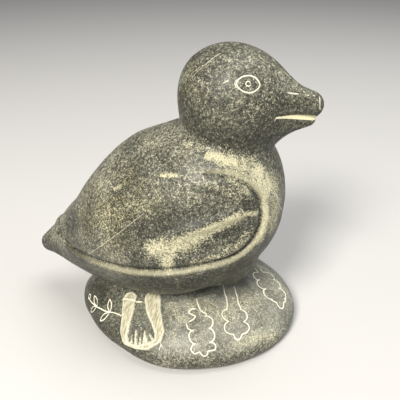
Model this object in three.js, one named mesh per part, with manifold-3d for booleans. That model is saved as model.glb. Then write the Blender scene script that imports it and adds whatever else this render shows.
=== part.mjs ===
// A small soapstone carving: a plump, round-headed bird on a low mound, cut from one block of stone.
//
// Millimetres. +Z up, the bird faces +X, +Y is its left. The origin is in the middle of the flat
// underside. The form is a solid described by a distance-like field (negative inside the stone),
// turned into a closed mesh and cut off flat where it stands.
import * as THREE from 'three';
import { mergeVertices } from 'three/addons/utils/BufferGeometryUtils.js';
import Module from 'manifold-3d';

// ---------------------------------------------------------------- driving dimensions
const HEAD = {
  ball: { at: [18, 0, 105], radii: [19.8, 18.3, 18.6], tilt: -9 },
  neck: { at: [16.5, 0, 92], radii: [17, 15.7, 19.8], tilt: 0 },
  upperBeak: { from: [29, 0, 104.6], to: [46, 0, 104], thick: 10.4, tip: 5.2 },
  lowerBeak: { from: [30, 0, 99], to: [45.9, 0, 98.9], thick: 9.9, tip: 3.1 },
  beakWidth: 0.72, // width of the beak over its height
};
const TRUNK = {
  at: [-0.5, 0, 44.7], // middle of the fullest section
  back: 70, front: 37.7, halfWidth: 34.9, up: 45.5, down: 23.8,
  pointed: 1.19, full: 2.03, // fullness of the tail end and of the breast end
  ease: 0.3, // how softly the two ends meet
  tilt: 20.7, // tail down, breast up
};
const BREAST = { at: [13.6, 0, 66.6], radii: [26.7, 27.2, 30.1], tilt: 0 };
const BELLY = { at: [19.6, 0, 35.2], radii: [11.4, 16.8, 10.3], tilt: 0 };
const TAIL = { from: [-43.5, 0, 34.5], to: [-69, 0, 24], thick: 16.4, tip: 5, width: 0.85 };
const MOUND = {
  at: [0, 0, 4.5], back: 50.2, front: 49.8, halfWidth: 41, up: 18.2, down: 12,
  pointed: 1.64, full: 1.92, // plan fullness behind and in front
  edge: 2.1, // fullness of the side, from top to rim
  turn: 6.5, // the mound sits a little askew under the bird
};
const BLEND = {
  skull: 6, beak: 7, mouth: 0.8, breast: 10, belly: 7, tail: 4, foot: 5, collar: 2.5,
};

// The wing's edge, drawn on the bird's side (X, Z): a long straight lower edge that bows up a
// little, a round front end, and a short rise to the back above the tail.
const WING = {
  mid: [-10, 44.8], rise: 0.23, bow: 0.9, bowReach: 33,
  front: 34.6, top: 83.2, topRound: 16.4, frontRound: 10.5,
  tail: [-58.5, 37.6], tailRise: 43, tailRound: 9,
  fadeLow: 62, fadeHigh: 76, fadeBack: 7, fadeFront: 25, // the edge dies away over the shoulder
};
// Relief along that edge: the wing swells, rolls over into a sunk line, and a raised rim follows.
const EDGE = {
  swellTail: 0.35, swell: 1, tailSpan: [-57, -27], swellFrom: -16, swellTo: -5, roll: 2.6,
  line: 1.5, rimInner: 3.2, rimRaise: 0.8, rimOuter: 11, rimBreast: 0.35, breastSpan: [56, 70],
};
// The hollow in the wing: under a low ridge (X, Z) that runs from the front of the wing's edge
// down to its middle, with a shallower dip above the ridge.
const SCOOP = {
  ridge: [[-6, 53.6], [2, 58.6], [8, 61.8], [15, 64.4], [20.8, 66.6], [25.4, 68.9], [29.2, 69.6],
    [34, 68.8]],
  deep: 1.5, steep: 2.6, border: [2.6, 6.4], deepens: [0, 17],
  raised: 0.55, raisedReach: 3.2, rises: [-6, 4], falls: [30, 35],
  dip: 0.7, dipStarts: [-17, -8], dipEnds: [-6, -1.2], dipDeepens: [-4, 10],
};
// The mouth: a straight wedge cut along both sides of the beak, opening towards the tip.
const MOUTH = {
  corner: [36, 101.4], tip: [48, 100.2], half: 1.3, deep: 1.1,
  opensFrom: 34, opensTo: 44, // the cut starts behind the corner and is at its full depth here
};
// The two legs and the feet, scraped up in low relief on the near side of the mound: the points
// that each strip runs through, with half its width there.
const LEGS = {
  raise: 1.1, soft: 0.9,
  strips: [
    [[-19, -22.4, 18.4, 3.2], [-17.2, -29.5, 15, 2.6], [-16.6, -34.5, 11.1, 2.1],
      [-15.3, -36.9, 8.4, 1.6]],
    [[-8.6, -22, 20.6, 3.6], [-6.6, -26.4, 18.9, 3.2], [-3.6, -30.6, 17, 2.6],
      [-1, -34.2, 14.8, 2.1], [-0.9, -36.6, 12.9, 1.5]],
    [[-15.2, -37.2, 7.9, 1.3], [-10, -38.7, 8.2, 1.4], [-5, -38.7, 9.9, 1.7],
      [-1.2, -37.2, 12.4, 1.5]],
  ],
};
// The mesh over the stone: edge length wanted in each kind of place, and how wide that place is.
const SPACING = { plain: 3.9, crease: 2.4, line: 2, legs: 1.7, mouth: 1.3 };
const REACH_OF = { crease: 2, line: 4, mouth: 3 };
const SHOWS = { line: 0.3, legs: 0.02 }; // shallower relief than this needs no finer mesh
const REFINING_ROUNDS = 2;
const RELAXING_ROUNDS = 3;
const TOO_LONG = 1.4; // an edge this many times the wanted length is split
const SLIDES = 0.35; // a vertex nearer to a line than this much of the wanted length moves onto it
const ON_LINE = 0.05; // and one nearer than this already lies on it
const SETTLING_ROUNDS = 4;
const STONE = { color: 0x737163, roughness: 0.5, metalness: 0 };

// ---------------------------------------------------------------- arithmetic of soft forms
const { abs, cos, hypot, max, min, sin, sqrt } = Math;
const radians = THREE.MathUtils.degToRad;
const clamp01 = (t) => min(max(t, 0), 1);

/** Rises smoothly from 0 at a to 1 at b. */
function ramp(a, b, x) {
  const t = clamp01((x - a) / (b - a));
  return t * t * (3 - 2 * t);
}

/** Joins two forms with a fillet of about k. */
function blend(a, b, k) {
  const h = clamp01(0.5 + (0.5 * (b - a)) / k);
  return b * (1 - h) + a * h - k * h * (1 - h);
}

/** The overlap of two areas, its corner rounded to radius r. */
function roundedCorner(a, b, r) {
  return min(-r, max(a, b)) + hypot(max(a + r, 0), max(b + r, 0));
}

/** A vector cut to length 1. */
function unit(v) {
  const length = hypot(...v);
  return v.map((component) => component / length);
}

/** A point in the axes of a form at `at`, turned about Z and then tilted about Y, in degrees. */
function localPoint([x, y, z], at, tilt, turn = 0) {
  const [dx, dy, dz] = [x - at[0], y - at[1], z - at[2]];
  const [ct, st] = [cos(radians(turn)), sin(radians(turn))];
  const [tx, ty] = [dx * ct + dy * st, -dx * st + dy * ct];
  const [cp, sp] = [cos(radians(tilt)), sin(radians(tilt))];
  return [tx * cp + dz * sp, ty, -tx * sp + dz * cp];
}

function ellipsoid(point, { at, radii, tilt }) {
  const q = localPoint(point, at, tilt);
  const scaled = hypot(q[0] / radii[0], q[1] / radii[1], q[2] / radii[2]);
  const steep = hypot(q[0] / radii[0] ** 2, q[1] / radii[1] ** 2, q[2] / radii[2] ** 2);
  return (scaled * (scaled - 1)) / max(steep, 1e-9);
}

/** A ball of radius `thick` at `from` drawn out to one of radius `tip` at `to`, narrowed in Y. */
function taper([x, y, z], { from, to, thick, tip }, width) {
  const q = [x - from[0], (y - from[1]) / width, z - from[2]];
  const axis = [to[0] - from[0], to[1] - from[1], to[2] - from[2]];
  const length = hypot(...axis);
  const along = (q[0] * axis[0] + q[1] * axis[1] + q[2] * axis[2]) / length;
  const out = sqrt(max(q[0] ** 2 + q[1] ** 2 + q[2] ** 2 - along ** 2, 0));
  const lean = (thick - tip) / length;
  const level = sqrt(1 - lean * lean);
  const foot = level * along - lean * out;
  if (foot < 0) return (hypot(out, along) - thick) * width;
  if (foot > level * length) return (hypot(out, along - length) - tip) * width;
  return (out * level + along * lean - thick) * width;
}

/** Distance-like value of a form whose scaled reach is `reach` (1 on its surface). */
const fromReach = (q, reach) => 0.8 * hypot(...q) * (1 - 1 / max(reach, 1e-6));

// ---------------------------------------------------------------- the bird
function head(point) {
  const skull = blend(ellipsoid(point, HEAD.ball), ellipsoid(point, HEAD.neck), BLEND.skull);
  const upper = taper(point, HEAD.upperBeak, HEAD.beakWidth);
  const lower = taper(point, HEAD.lowerBeak, HEAD.beakWidth);
  return blend(skull, blend(upper, lower, BLEND.mouth), BLEND.beak);
}

/** An egg on its side: pointed behind, full in front. */
function trunk(point) {
  const { at, back, front, halfWidth, up, down, pointed, full, ease, tilt } = TRUNK;
  const q = localPoint(point, at, tilt);
  const along = abs(q[0]) / (q[0] < 0 ? back : front);
  const across = hypot(q[1] / halfWidth, q[2] / (q[2] < 0 ? down : up));
  const n = pointed + (full - pointed) * ramp(-0.5 * ease * back, 0.5 * ease * front, q[0]);
  const eased = (a) => (a * a + ease * ease) ** (n / 2) - ease ** n;
  return fromReach(q, (across ** n + eased(along) / eased(1)) ** (1 / n));
}

/** Signed distance to the wing's edge in the side view, negative on the wing. */
function wingEdge(x, z) {
  const { mid, rise, bow, bowReach, front, top, topRound, frontRound } = WING;
  const u = min(abs(x - mid[0]) / bowReach, 1);
  const lowerZ = mid[1] + rise * (x - mid[0]) - bow * u * u;
  const below = (lowerZ - z) / hypot(1, rise);
  const wing = roundedCorner(roundedCorner(below, x - front, frontRound), z - top, topRound);
  const { tail, tailRise, tailRound } = WING;
  const angle = radians(tailRise);
  const behind = -(x - tail[0]) * sin(angle) - (z - tail[1]) * cos(angle);
  return roundedCorner(wing, behind, tailRound);
}

/** Height of the wing's relief above the trunk at signed distance s from its edge. */
function wingRelief([x, , z], s) {
  const overShoulder = ramp(WING.fadeLow, WING.fadeHigh, z);
  const strength = 1 - overShoulder * (1 - ramp(WING.fadeBack, WING.fadeFront, x));
  if (s < 0) {
    const swell = EDGE.swellTail + (EDGE.swell - EDGE.swellTail) * ramp(...EDGE.tailSpan, x);
    const rollOver = (swell + EDGE.line) * ramp(-EDGE.roll, 0, s);
    return strength * (swell * ramp(EDGE.swellFrom, EDGE.swellTo, s) - rollOver);
  }
  const rim = EDGE.rimBreast + (1 - EDGE.rimBreast) * (1 - ramp(...EDGE.breastSpan, z));
  const raised = EDGE.rimRaise * rim * ramp(0, EDGE.rimInner, s);
  const faded = 1 - ramp(EDGE.rimInner, EDGE.rimOuter, s);
  return strength * (raised * faded - EDGE.line * (1 - ramp(0, EDGE.rimInner, s)));
}

/** The height of a line of points (X, Z) at x, level beyond its ends. */
function heightAt(line, x) {
  const next = line.findIndex(([start]) => start >= x);
  if (next <= 0) return line[next < 0 ? line.length - 1 : 0][1];
  const [[x0, z0], [x1, z1]] = [line[next - 1], line[next]];
  return z0 + ((z1 - z0) * (x - x0)) / (x1 - x0);
}

/** Height of the ridge on the wing, the hollow under it and the dip above it. */
function scoopRelief([x, , z], s) {
  const below = 0.92 * (heightAt(SCOOP.ridge, x) - z);
  const inside = ramp(...SCOOP.border, max(-s, 0));
  const hollow = ramp(-0.2, SCOOP.steep, below) * inside * ramp(...SCOOP.deepens, x);
  const proud = 1 - ramp(0, SCOOP.raisedReach, abs(below + 0.8));
  const ridge = proud * ramp(...SCOOP.rises, x) * (1 - ramp(...SCOOP.falls, x));
  const dip = ramp(...SCOOP.dipStarts, below) * (1 - ramp(...SCOOP.dipEnds, below)) * inside;
  const dipped = dip * ramp(...SCOOP.dipDeepens, x);
  return SCOOP.raised * ridge - SCOOP.deep * hollow - SCOOP.dip * dipped;
}

function body(point) {
  const rounded = blend(trunk(point), ellipsoid(point, BREAST), BLEND.breast);
  const full = blend(rounded, ellipsoid(point, BELLY), BLEND.belly);
  return blend(full, taper(point, TAIL, TAIL.width), BLEND.tail);
}

// ---------------------------------------------------------------- the mound and the legs on it
function plainMound(point) {
  const { at, back, front, halfWidth, up, down, pointed, full, edge, turn } = MOUND;
  const q = localPoint(point, at, 0, turn);
  const along = q[0] / (q[0] < 0 ? back : front);
  const m = pointed + (full - pointed) * ramp(-0.5, 0.5, along);
  const plan = (abs(along) ** m + abs(q[1] / halfWidth) ** m + 1e-12) ** (1 / m);
  return fromReach(q, (plan ** edge + abs(q[2] / (q[2] < 0 ? down : up)) ** edge) ** (1 / edge));
}

/** The spans of the legs' strips from each point to the next, laid on the stone. */
const LEG_SPANS = LEGS.strips.flatMap((strip) => strip.slice(1).map((end, n) => {
  const [a, b] = [strip[n], end].map(([x, y, z]) => new THREE.Vector3(...settle([x, y, z])));
  return { line: new THREE.Line3(a, b), halves: [strip[n][3], end[3]] };
}));

function legRelief(point) {
  const p = new THREE.Vector3(...point);
  const nearest = new THREE.Vector3();
  const heights = LEG_SPANS.map(({ line, halves }) => {
    const along = line.closestPointToPointParameter(p, true);
    const away = line.at(along, nearest).distanceTo(p);
    const half = THREE.MathUtils.lerp(...halves, along);
    return 1 - ramp(half - LEGS.soft, half + LEGS.soft, away);
  });
  return LEGS.raise * max(...heights);
}

/** The whole form without its relief: negative inside the stone. */
function carving(point) {
  return blend(blend(body(point), plainMound(point), BLEND.foot), head(point), BLEND.collar);
}

/** Signed distance to the mouth's line in the side view, positive above it. */
function mouthLine(x, z) {
  const { corner, tip } = MOUTH;
  const fall = (tip[1] - corner[1]) / (tip[0] - corner[0]);
  return (z - corner[1] - fall * (x - corner[0])) / hypot(1, fall);
}

function mouthDepth(x, away) {
  return MOUTH.deep * ramp(MOUTH.opensFrom, MOUTH.opensTo, x) * max(1 - abs(away) / MOUTH.half, 0);
}

const onHead = (point) => head(point) < body(point);
const onTrunk = (point) => body(point) < min(head(point), plainMound(point));

const onWingLine = (point) => onTrunk(point) && wingRelief(point, 0) < -SHOWS.line;

const onMouthLine = (point) => onHead(point) && point[0] > MOUTH.corner[0];

/** Lines that the mesh follows, each as a field that is 0 along it. */
const LINES = [
  { applies: onMouthLine, field: (p) => mouthLine(p[0], p[2]) },
  { applies: onWingLine, field: (p) => wingEdge(p[0], p[2]) },
  { applies: () => true, field: (p) => head(p) - body(p) },
  { applies: () => true, field: (p) => body(p) - plainMound(p) },
];

/** Height of all carved relief above the plain form at a point of its surface. */
function relief(point) {
  if (onHead(point)) return -mouthDepth(point[0], mouthLine(point[0], point[2]));
  const s = wingEdge(point[0], point[2]);
  if (onTrunk(point)) return wingRelief(point, s) + scoopRelief(point, s);
  return legRelief(point);
}

/** Edge length wanted in the mesh: short along the cut lines, creases and legs, long elsewhere. */
function wantedEdge(point) {
  const [crown, trunkValue, foot] = [head(point), body(point), plainMound(point)];
  if (crown < trunkValue) {
    const away = abs(mouthLine(point[0], point[2]));
    if (point[0] > MOUTH.opensFrom && away < REACH_OF.mouth) return SPACING.mouth;
  } else if (trunkValue < foot) {
    const away = abs(wingEdge(point[0], point[2]));
    if (away < REACH_OF.line && onWingLine(point)) return SPACING.line;
  } else if (legRelief(point) > SHOWS.legs) return SPACING.legs;
  const crease = min(abs(crown - trunkValue), abs(trunkValue - foot));
  return crease < REACH_OF.crease ? SPACING.crease : SPACING.plain;
}

// ---------------------------------------------------------------- from field to mesh
/** Slope of the field at a point, by small steps. */
function slopeAt(field, point) {
  const step = 0.05;
  return [0, 1, 2].map((axis) => {
    const ahead = point.map((v, k) => (k === axis ? v + step : v));
    const behind = point.map((v, k) => (k === axis ? v - step : v));
    return (field(ahead) - field(behind)) / (2 * step);
  });
}

/** Moves a point onto the surface by a few steps along the field's slope. */
function settle(point) {
  let p = point;
  for (let round = 0; round < SETTLING_ROUNDS; round += 1) {
    const slope = slopeAt(carving, p);
    const steepness = max(slope[0] ** 2 + slope[1] ** 2 + slope[2] ** 2, 0.1);
    const move = carving(p) / steepness;
    p = p.map((v, k) => v - move * slope[k]);
  }
  return p;
}

/** Surface nets: one vertex for each grid cell that the surface crosses, one quad for each edge. */
function surfaceNet(field, box, cell) {
  const size = box.getSize(new THREE.Vector3());
  const count = ['x', 'y', 'z'].map((k) => Math.ceil(size[k] / cell) + 1);
  const index = (i, j, k) => (k * count[1] + j) * count[0] + i;
  const place = (i, j, k) => [box.min.x + i * cell, box.min.y + j * cell, box.min.z + k * cell];
  const eachCell = (first, visit) => {
    for (let k = first; k < count[2] - 1; k += 1) {
      for (let j = first; j < count[1] - 1; j += 1) {
        for (let i = first; i < count[0] - 1; i += 1) visit(i, j, k);
      }
    }
  };
  const value = new Float64Array(count[0] * count[1] * count[2]);
  eachCell(0, (i, j, k) => { value[index(i, j, k)] = field(place(i, j, k)); });
  value.forEach((v, n) => { if (v === 0) value[n] = 1e-9; });

  const corners = [0, 1, 2, 3, 4, 5, 6, 7].map((c) => [c & 1, (c >> 1) & 1, (c >> 2) & 1]);
  const isEdge = (a, b) => b.every((v, n) => v >= a[n])
    && b[0] + b[1] + b[2] === a[0] + a[1] + a[2] + 1;
  const cellEdges = corners.flatMap((a) => corners.filter((b) => isEdge(a, b)).map((b) => [a, b]));
  const vertexOf = new Map();
  const vertices = [];
  eachCell(0, (i, j, k) => {
    const crossings = [];
    for (const [a, b] of cellEdges) {
      const va = value[index(i + a[0], j + a[1], k + a[2])];
      const vb = value[index(i + b[0], j + b[1], k + b[2])];
      if (va < 0 !== vb < 0) {
        const t = va / (va - vb);
        const start = place(i + a[0], j + a[1], k + a[2]);
        crossings.push(start.map((v, n) => v + t * (b[n] - a[n]) * cell));
      }
    }
    if (crossings.length) {
      const sum = (n) => crossings.reduce((total, crossing) => total + crossing[n], 0);
      const middle = [0, 1, 2].map((n) => sum(n) / crossings.length);
      vertexOf.set(index(i, j, k), vertices.length);
      vertices.push(settle(middle));
    }
  });

  const triangles = [];
  const gap = (a, b) => hypot(...vertices[a].map((v, n) => v - vertices[b][n]));
  const addQuad = (cells, flip) => {
    const ring = cells.map(([i, j, k]) => vertexOf.get(index(i, j, k)));
    if (flip) ring.reverse();
    const [a, b, c, d] = ring;
    if (gap(a, c) <= gap(b, d)) triangles.push([a, b, c], [a, c, d]);
    else triangles.push([b, c, d], [b, d, a]);
  };
  eachCell(1, (i, j, k) => {
    const inside = value[index(i, j, k)] < 0;
    if (inside !== value[index(i + 1, j, k)] < 0) {
      addQuad([[i, j - 1, k - 1], [i, j, k - 1], [i, j, k], [i, j - 1, k]], !inside);
    }
    if (inside !== value[index(i, j + 1, k)] < 0) {
      addQuad([[i - 1, j, k - 1], [i - 1, j, k], [i, j, k], [i, j, k - 1]], !inside);
    }
    if (inside !== value[index(i, j, k + 1)] < 0) {
      addQuad([[i - 1, j - 1, k], [i, j - 1, k], [i, j, k], [i - 1, j, k]], !inside);
    }
  });
  return { vertices, triangles };
}

/** The point of an edge that is too long for where it lies, or null. */
function tooLongAt(p, q) {
  const middle = p.map((v, n) => (v + q[n]) / 2);
  const length = hypot(p[0] - q[0], p[1] - q[1], p[2] - q[2]);
  return length > TOO_LONG * wantedEdge(middle) ? settle(middle) : null;
}

/** The point where an edge crosses one of the lines, or null. */
function crossingAt(p, q) {
  const middle = p.map((v, n) => (v + q[n]) / 2);
  const line = LINES.find(({ applies, field }) => applies(middle)
    && min(abs(field(p)), abs(field(q))) > ON_LINE && field(p) < 0 !== field(q) < 0);
  if (!line) return null;
  const t = line.field(p) / (line.field(p) - line.field(q));
  return slideTo(line, p.map((v, n) => v + t * (q[n] - v)));
}

/** Splits the edges for which `pointOn` gives a point, and the triangles that share them. */
function refine({ vertices, triangles }, pointOn) {
  const middles = new Map();
  const middleOf = (a, b) => {
    const key = a < b ? `${a} ${b}` : `${b} ${a}`;
    if (!middles.has(key)) {
      const point = pointOn(vertices[a], vertices[b]);
      middles.set(key, point && vertices.push(point) - 1);
    }
    return middles.get(key);
  };
  const split = [];
  for (const [a, b, c] of triangles) {
    const [ab, bc, ca] = [middleOf(a, b), middleOf(b, c), middleOf(c, a)];
    // turn the corners so that the cut edges come first, then fan out
    const turns = [[a, b, c, ab, bc, ca], [b, c, a, bc, ca, ab], [c, a, b, ca, ab, bc]];
    const cuts = [ab, bc, ca].filter((m) => m !== null).length;
    const [p, q, r, pq, qr, rp] = turns.find(([, , , first, second, third]) => (
      cuts === 1 ? first !== null : cuts === 2 ? third === null : true));
    if (cuts === 0) split.push([p, q, r]);
    if (cuts === 1) split.push([p, pq, r], [pq, q, r]);
    if (cuts === 2) split.push([pq, q, qr], [p, pq, qr], [p, qr, r]);
    if (cuts === 3) split.push([p, pq, rp], [pq, q, qr], [rp, qr, r], [pq, qr, rp]);
  }
  return { vertices, triangles: split };
}

/** Evens out the triangles: each vertex moves to the middle of its neighbours, on the surface. */
function relax({ vertices, triangles }) {
  const around = vertices.map(() => []);
  for (const [a, b, c] of triangles) {
    around[a].push(vertices[b]);
    around[b].push(vertices[c]);
    around[c].push(vertices[a]);
  }
  const average = (points, k) => points.reduce((sum, point) => sum + point[k], 0) / points.length;
  const evened = around.map((points) => settle([0, 1, 2].map((k) => average(points, k))));
  return { vertices: evened, triangles };
}

/** The step along the surface that brings a point onto a line, as near as its slope tells. */
function stepToLine(field, point) {
  const slope = slopeAt(field, point);
  const normal = unit(slopeAt(carving, point));
  const outward = slope[0] * normal[0] + slope[1] * normal[1] + slope[2] * normal[2];
  const along = slope.map((v, k) => v - outward * normal[k]);
  const steepness = max(along[0] ** 2 + along[1] ** 2 + along[2] ** 2, 0.05);
  return along.map((v) => (-field(point) / steepness) * v);
}

/** Slides a point along the surface until it lies on a line. */
function slideTo({ field }, point) {
  let p = point;
  for (let round = 0; round < SETTLING_ROUNDS; round += 1) {
    const step = stepToLine(field, p);
    p = settle(p.map((v, k) => v + step[k]));
  }
  return p;
}

/** Slides a vertex onto the first line that is near it. */
function slideIfNear(vertex) {
  const wanted = wantedEdge(vertex);
  const line = LINES.find(({ applies, field }) => applies(vertex) && abs(field(vertex)) < 2 * wanted
    && hypot(...stepToLine(field, vertex)) < SLIDES * wanted);
  return line ? slideTo(line, vertex) : vertex;
}

/** The mesh of the carved form: net, finer where it is worked, then raised and sunk. */
function carvedMesh() {
  let net = surfaceNet(carving, REACH, SPACING.plain);
  for (let round = 0; round < REFINING_ROUNDS; round += 1) net = refine(net, tooLongAt);
  for (let round = 0; round < RELAXING_ROUNDS; round += 1) net = relax(net);
  net = refine({ vertices: net.vertices.map(slideIfNear), triangles: net.triangles }, crossingAt);
  const vertices = net.vertices.map((p) => {
    const [normal, height] = [unit(slopeAt(carving, p)), relief(p)];
    return p.map((v, k) => v + height * normal[k]);
  });
  return { vertices, triangles: net.triangles };
}

// ---------------------------------------------------------------- one solid, cut off flat below
const wasm = await Module();
wasm.setup();

function solidOf(positions, indices) {
  return new wasm.Manifold(new wasm.Mesh({
    numProp: 3,
    vertProperties: Float32Array.from(positions),
    triVerts: Uint32Array.from(indices),
  }));
}

/** A three.js box as a solid. */
function boxSolid(box) {
  const size = box.getSize(new THREE.Vector3());
  const middle = box.getCenter(new THREE.Vector3());
  const geometry = new THREE.BoxGeometry(size.x, size.y, size.z);
  geometry.translate(middle.x, middle.y, middle.z);
  geometry.deleteAttribute('normal');
  geometry.deleteAttribute('uv');
  const merged = mergeVertices(geometry);
  return solidOf(merged.attributes.position.array, merged.index.array);
}

const REACH = new THREE.Box3(new THREE.Vector3(-82, -50, -12), new THREE.Vector3(60, 50, 132));
const ABOVE_TABLE = new THREE.Box3(new THREE.Vector3(-100, -60, 0), new THREE.Vector3(70, 60, 150));

function stoneGeometry() {
  const { vertices, triangles } = carvedMesh();
  const stone = solidOf(vertices.flat(), triangles.flat()).intersect(boxSolid(ABOVE_TABLE));
  const mesh = stone.getMesh();
  const geometry = new THREE.BufferGeometry();
  geometry.setAttribute('position', new THREE.BufferAttribute(mesh.vertProperties, mesh.numProp));
  geometry.setIndex(new THREE.BufferAttribute(mesh.triVerts, 1));
  geometry.computeVertexNormals();
  return geometry;
}

const carvingMesh = new THREE.Mesh(stoneGeometry(), new THREE.MeshStandardMaterial(STONE));
carvingMesh.name = 'bird_carving';

const soapstoneBird = new THREE.Group();
soapstoneBird.add(carvingMesh);

export default soapstoneBird;
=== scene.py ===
"""A soapstone bird on its mound: the carved stone's fine surface, its finish and a plain studio.

The stone is one piece. Its form is a field that is negative inside the stone, in millimetres and in
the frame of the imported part: +Z up, the bird faces +X. The field is turned into a mesh that is fine
where the carver worked, the relief and the scratched drawing are cut into that mesh, and the marks
they leave are kept as point attributes that the stone's material reads.
"""
from __future__ import annotations

import logging
import math
from dataclasses import dataclass, field
from enum import Enum
from collections.abc import Callable

import bpy
import numpy as np
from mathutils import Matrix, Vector

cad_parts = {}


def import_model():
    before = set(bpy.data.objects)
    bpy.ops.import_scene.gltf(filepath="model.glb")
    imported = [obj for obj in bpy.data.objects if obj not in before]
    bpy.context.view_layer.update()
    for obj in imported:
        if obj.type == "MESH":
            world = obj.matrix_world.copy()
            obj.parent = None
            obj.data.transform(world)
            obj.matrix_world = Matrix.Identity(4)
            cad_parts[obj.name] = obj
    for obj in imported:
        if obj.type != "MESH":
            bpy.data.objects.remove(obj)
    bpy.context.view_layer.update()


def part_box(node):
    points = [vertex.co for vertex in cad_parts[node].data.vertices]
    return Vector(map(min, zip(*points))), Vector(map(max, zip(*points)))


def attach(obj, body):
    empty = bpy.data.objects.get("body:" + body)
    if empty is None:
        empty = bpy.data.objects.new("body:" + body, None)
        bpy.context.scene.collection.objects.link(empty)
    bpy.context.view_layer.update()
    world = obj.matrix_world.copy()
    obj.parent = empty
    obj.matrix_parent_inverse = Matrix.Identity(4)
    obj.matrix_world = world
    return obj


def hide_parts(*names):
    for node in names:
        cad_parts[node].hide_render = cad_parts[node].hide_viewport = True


LOG = logging.getLogger("soapstone_bird")
Points = np.ndarray
Values = np.ndarray
Place = tuple[float, float, float]
Span = tuple[float, float]
Band = tuple[float, float, float, float]
Colour = tuple[float, ...]

MM = 0.001  # a millimetre in metres
TINY = 1e-9  # keeps a division from being by nothing
FAR = 1e3  # farther than any two points of the stone
FLAT = 0.02  # what lies lower than this is the flat underside
BLOCK = 4000  # points that are measured against a stroke at once
FIELD_SLOPE = 0.8  # makes a form's value grow no faster than the distance
NOISE_START = 100.0  # keeps the noise lattice's cells positive
# large odd numbers that scatter the noise lattice's cells, and the largest value that they give
HASH_AXES = (73856093, 19349663, 83492791)
HASH_SEED = 2654435761
HASH_MIX = 1274126177
HASH_TOP = 0xFFFFFF


# ------------------------------------------------------------------ arithmetic of soft forms
def ramp(low: float, high: float, x: Values) -> Values:
    """Rise smoothly from 0 at low to 1 at high."""
    t = np.clip((x - low) / (high - low), 0.0, 1.0)
    return t * t * (3.0 - 2.0 * t)


def band(span: Band, x: Values) -> Values:
    """Rise smoothly from 0 to 1 between the first two numbers, and fall between the others."""
    rise, full, fade, end = span
    return ramp(rise, full, x) * (1.0 - ramp(fade, end, x))


def blend(a: Values, b: Values, k: float) -> Values:
    """Join two forms with a fillet of about k."""
    h = np.clip(0.5 + 0.5 * (b - a) / k, 0.0, 1.0)
    return b * (1.0 - h) + a * h - k * h * (1.0 - h)


def rounded_corner(a: Values, b: Values, radius: float) -> Values:
    """Overlap two areas, with the corner between them rounded."""
    inner = np.minimum(-radius, np.maximum(a, b))
    return inner + np.hypot(np.maximum(a + radius, 0.0), np.maximum(b + radius, 0.0))


def length_of(vectors: Points) -> Values:
    """Lengths of the rows of an array of vectors."""
    return np.sqrt(np.einsum("...k,...k->...", vectors, vectors))


def unit(vectors: Points) -> Points:
    """Rows of an array of vectors, each cut to length 1."""
    return vectors / np.maximum(length_of(vectors), TINY)[..., None]


def slope_at(form: Callable[[Points], Values], points: Points, step: float = 0.05) -> Points:
    """Measure the slope of a field.

    Args:
        form: the field, a function of an array of points.
        points: where to measure, one row a point.
        step: half the distance between the two samples on each axis.

    Returns:
        One slope vector for each point.
    """
    slope = np.empty_like(points)
    for axis in range(3):
        offset = np.zeros(3)
        offset[axis] = step
        slope[:, axis] = (form(points + offset) - form(points - offset)) / (2.0 * step)
    return slope


def smooth_noise(points: Points, wavelength: float, seed: int) -> Values:
    """Give a smooth random value between -1 and 1 at each point.

    Args:
        points: one row a point, in millimetres.
        wavelength: spacing of the random lattice, in millimetres.
        seed: which of many such fields to give.

    Returns:
        One value for each point.
    """
    scaled = points / wavelength + NOISE_START
    cell = np.floor(scaled).astype(np.int64)
    t = scaled - cell
    t = t * t * t * (t * (6.0 * t - 15.0) + 10.0)
    total = np.zeros(len(points))
    for corner in range(8):
        offset = np.array([corner & 1, (corner >> 1) & 1, (corner >> 2) & 1])
        key = (cell + offset) @ np.array(HASH_AXES) + seed * HASH_SEED
        key = (key ^ (key >> 13)) * HASH_MIX
        key = (key ^ (key >> 16)) & HASH_TOP
        weight = np.prod(np.where(offset, t, 1.0 - t), axis=1)
        total += weight * (key / float(HASH_TOP // 2) - 1.0)
    return total


# ------------------------------------------------------------------ plain forms
@dataclass(frozen=True)
class Ellipsoid:
    """A ball stretched along three axes and tilted about Y, in degrees."""

    at: Place
    radii: Place
    tilt: float = 0.0

    def value(self, points: Points) -> Values:
        """Distance-like value of the form at each point.

        Args:
            points: one row a point, in millimetres.

        Returns:
            A value for each point, negative inside.
        """
        q = local_points(points, self.at, self.tilt)
        radii = np.array(self.radii)
        scaled = length_of(q / radii)
        return scaled * (scaled - 1.0) / np.maximum(length_of(q / radii**2), TINY)


@dataclass(frozen=True)
class Taper:
    """A ball drawn out to a smaller one, narrowed sideways."""

    start: Place
    end: Place
    thick: float
    tip: float
    width: float

    def value(self, points: Points) -> Values:
        """Distance-like value of the form at each point.

        Args:
            points: one row a point, in millimetres.

        Returns:
            A value for each point, negative inside.
        """
        q = points - np.array(self.start)
        q = q / np.array([1.0, self.width, 1.0])
        axis = np.array(self.end) - np.array(self.start)
        length = float(np.linalg.norm(axis))
        along = q @ (axis / length)
        out = np.sqrt(np.maximum(length_of(q) ** 2 - along**2, 0.0))
        lean = (self.thick - self.tip) / length
        level = math.sqrt(1.0 - lean * lean)
        foot = level * along - lean * out
        side = out * level + along * lean - self.thick
        near = np.hypot(out, along) - self.thick
        far = np.hypot(out, along - length) - self.tip
        return self.width * np.where(foot < 0.0, near, np.where(foot > level * length, far, side))


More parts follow.
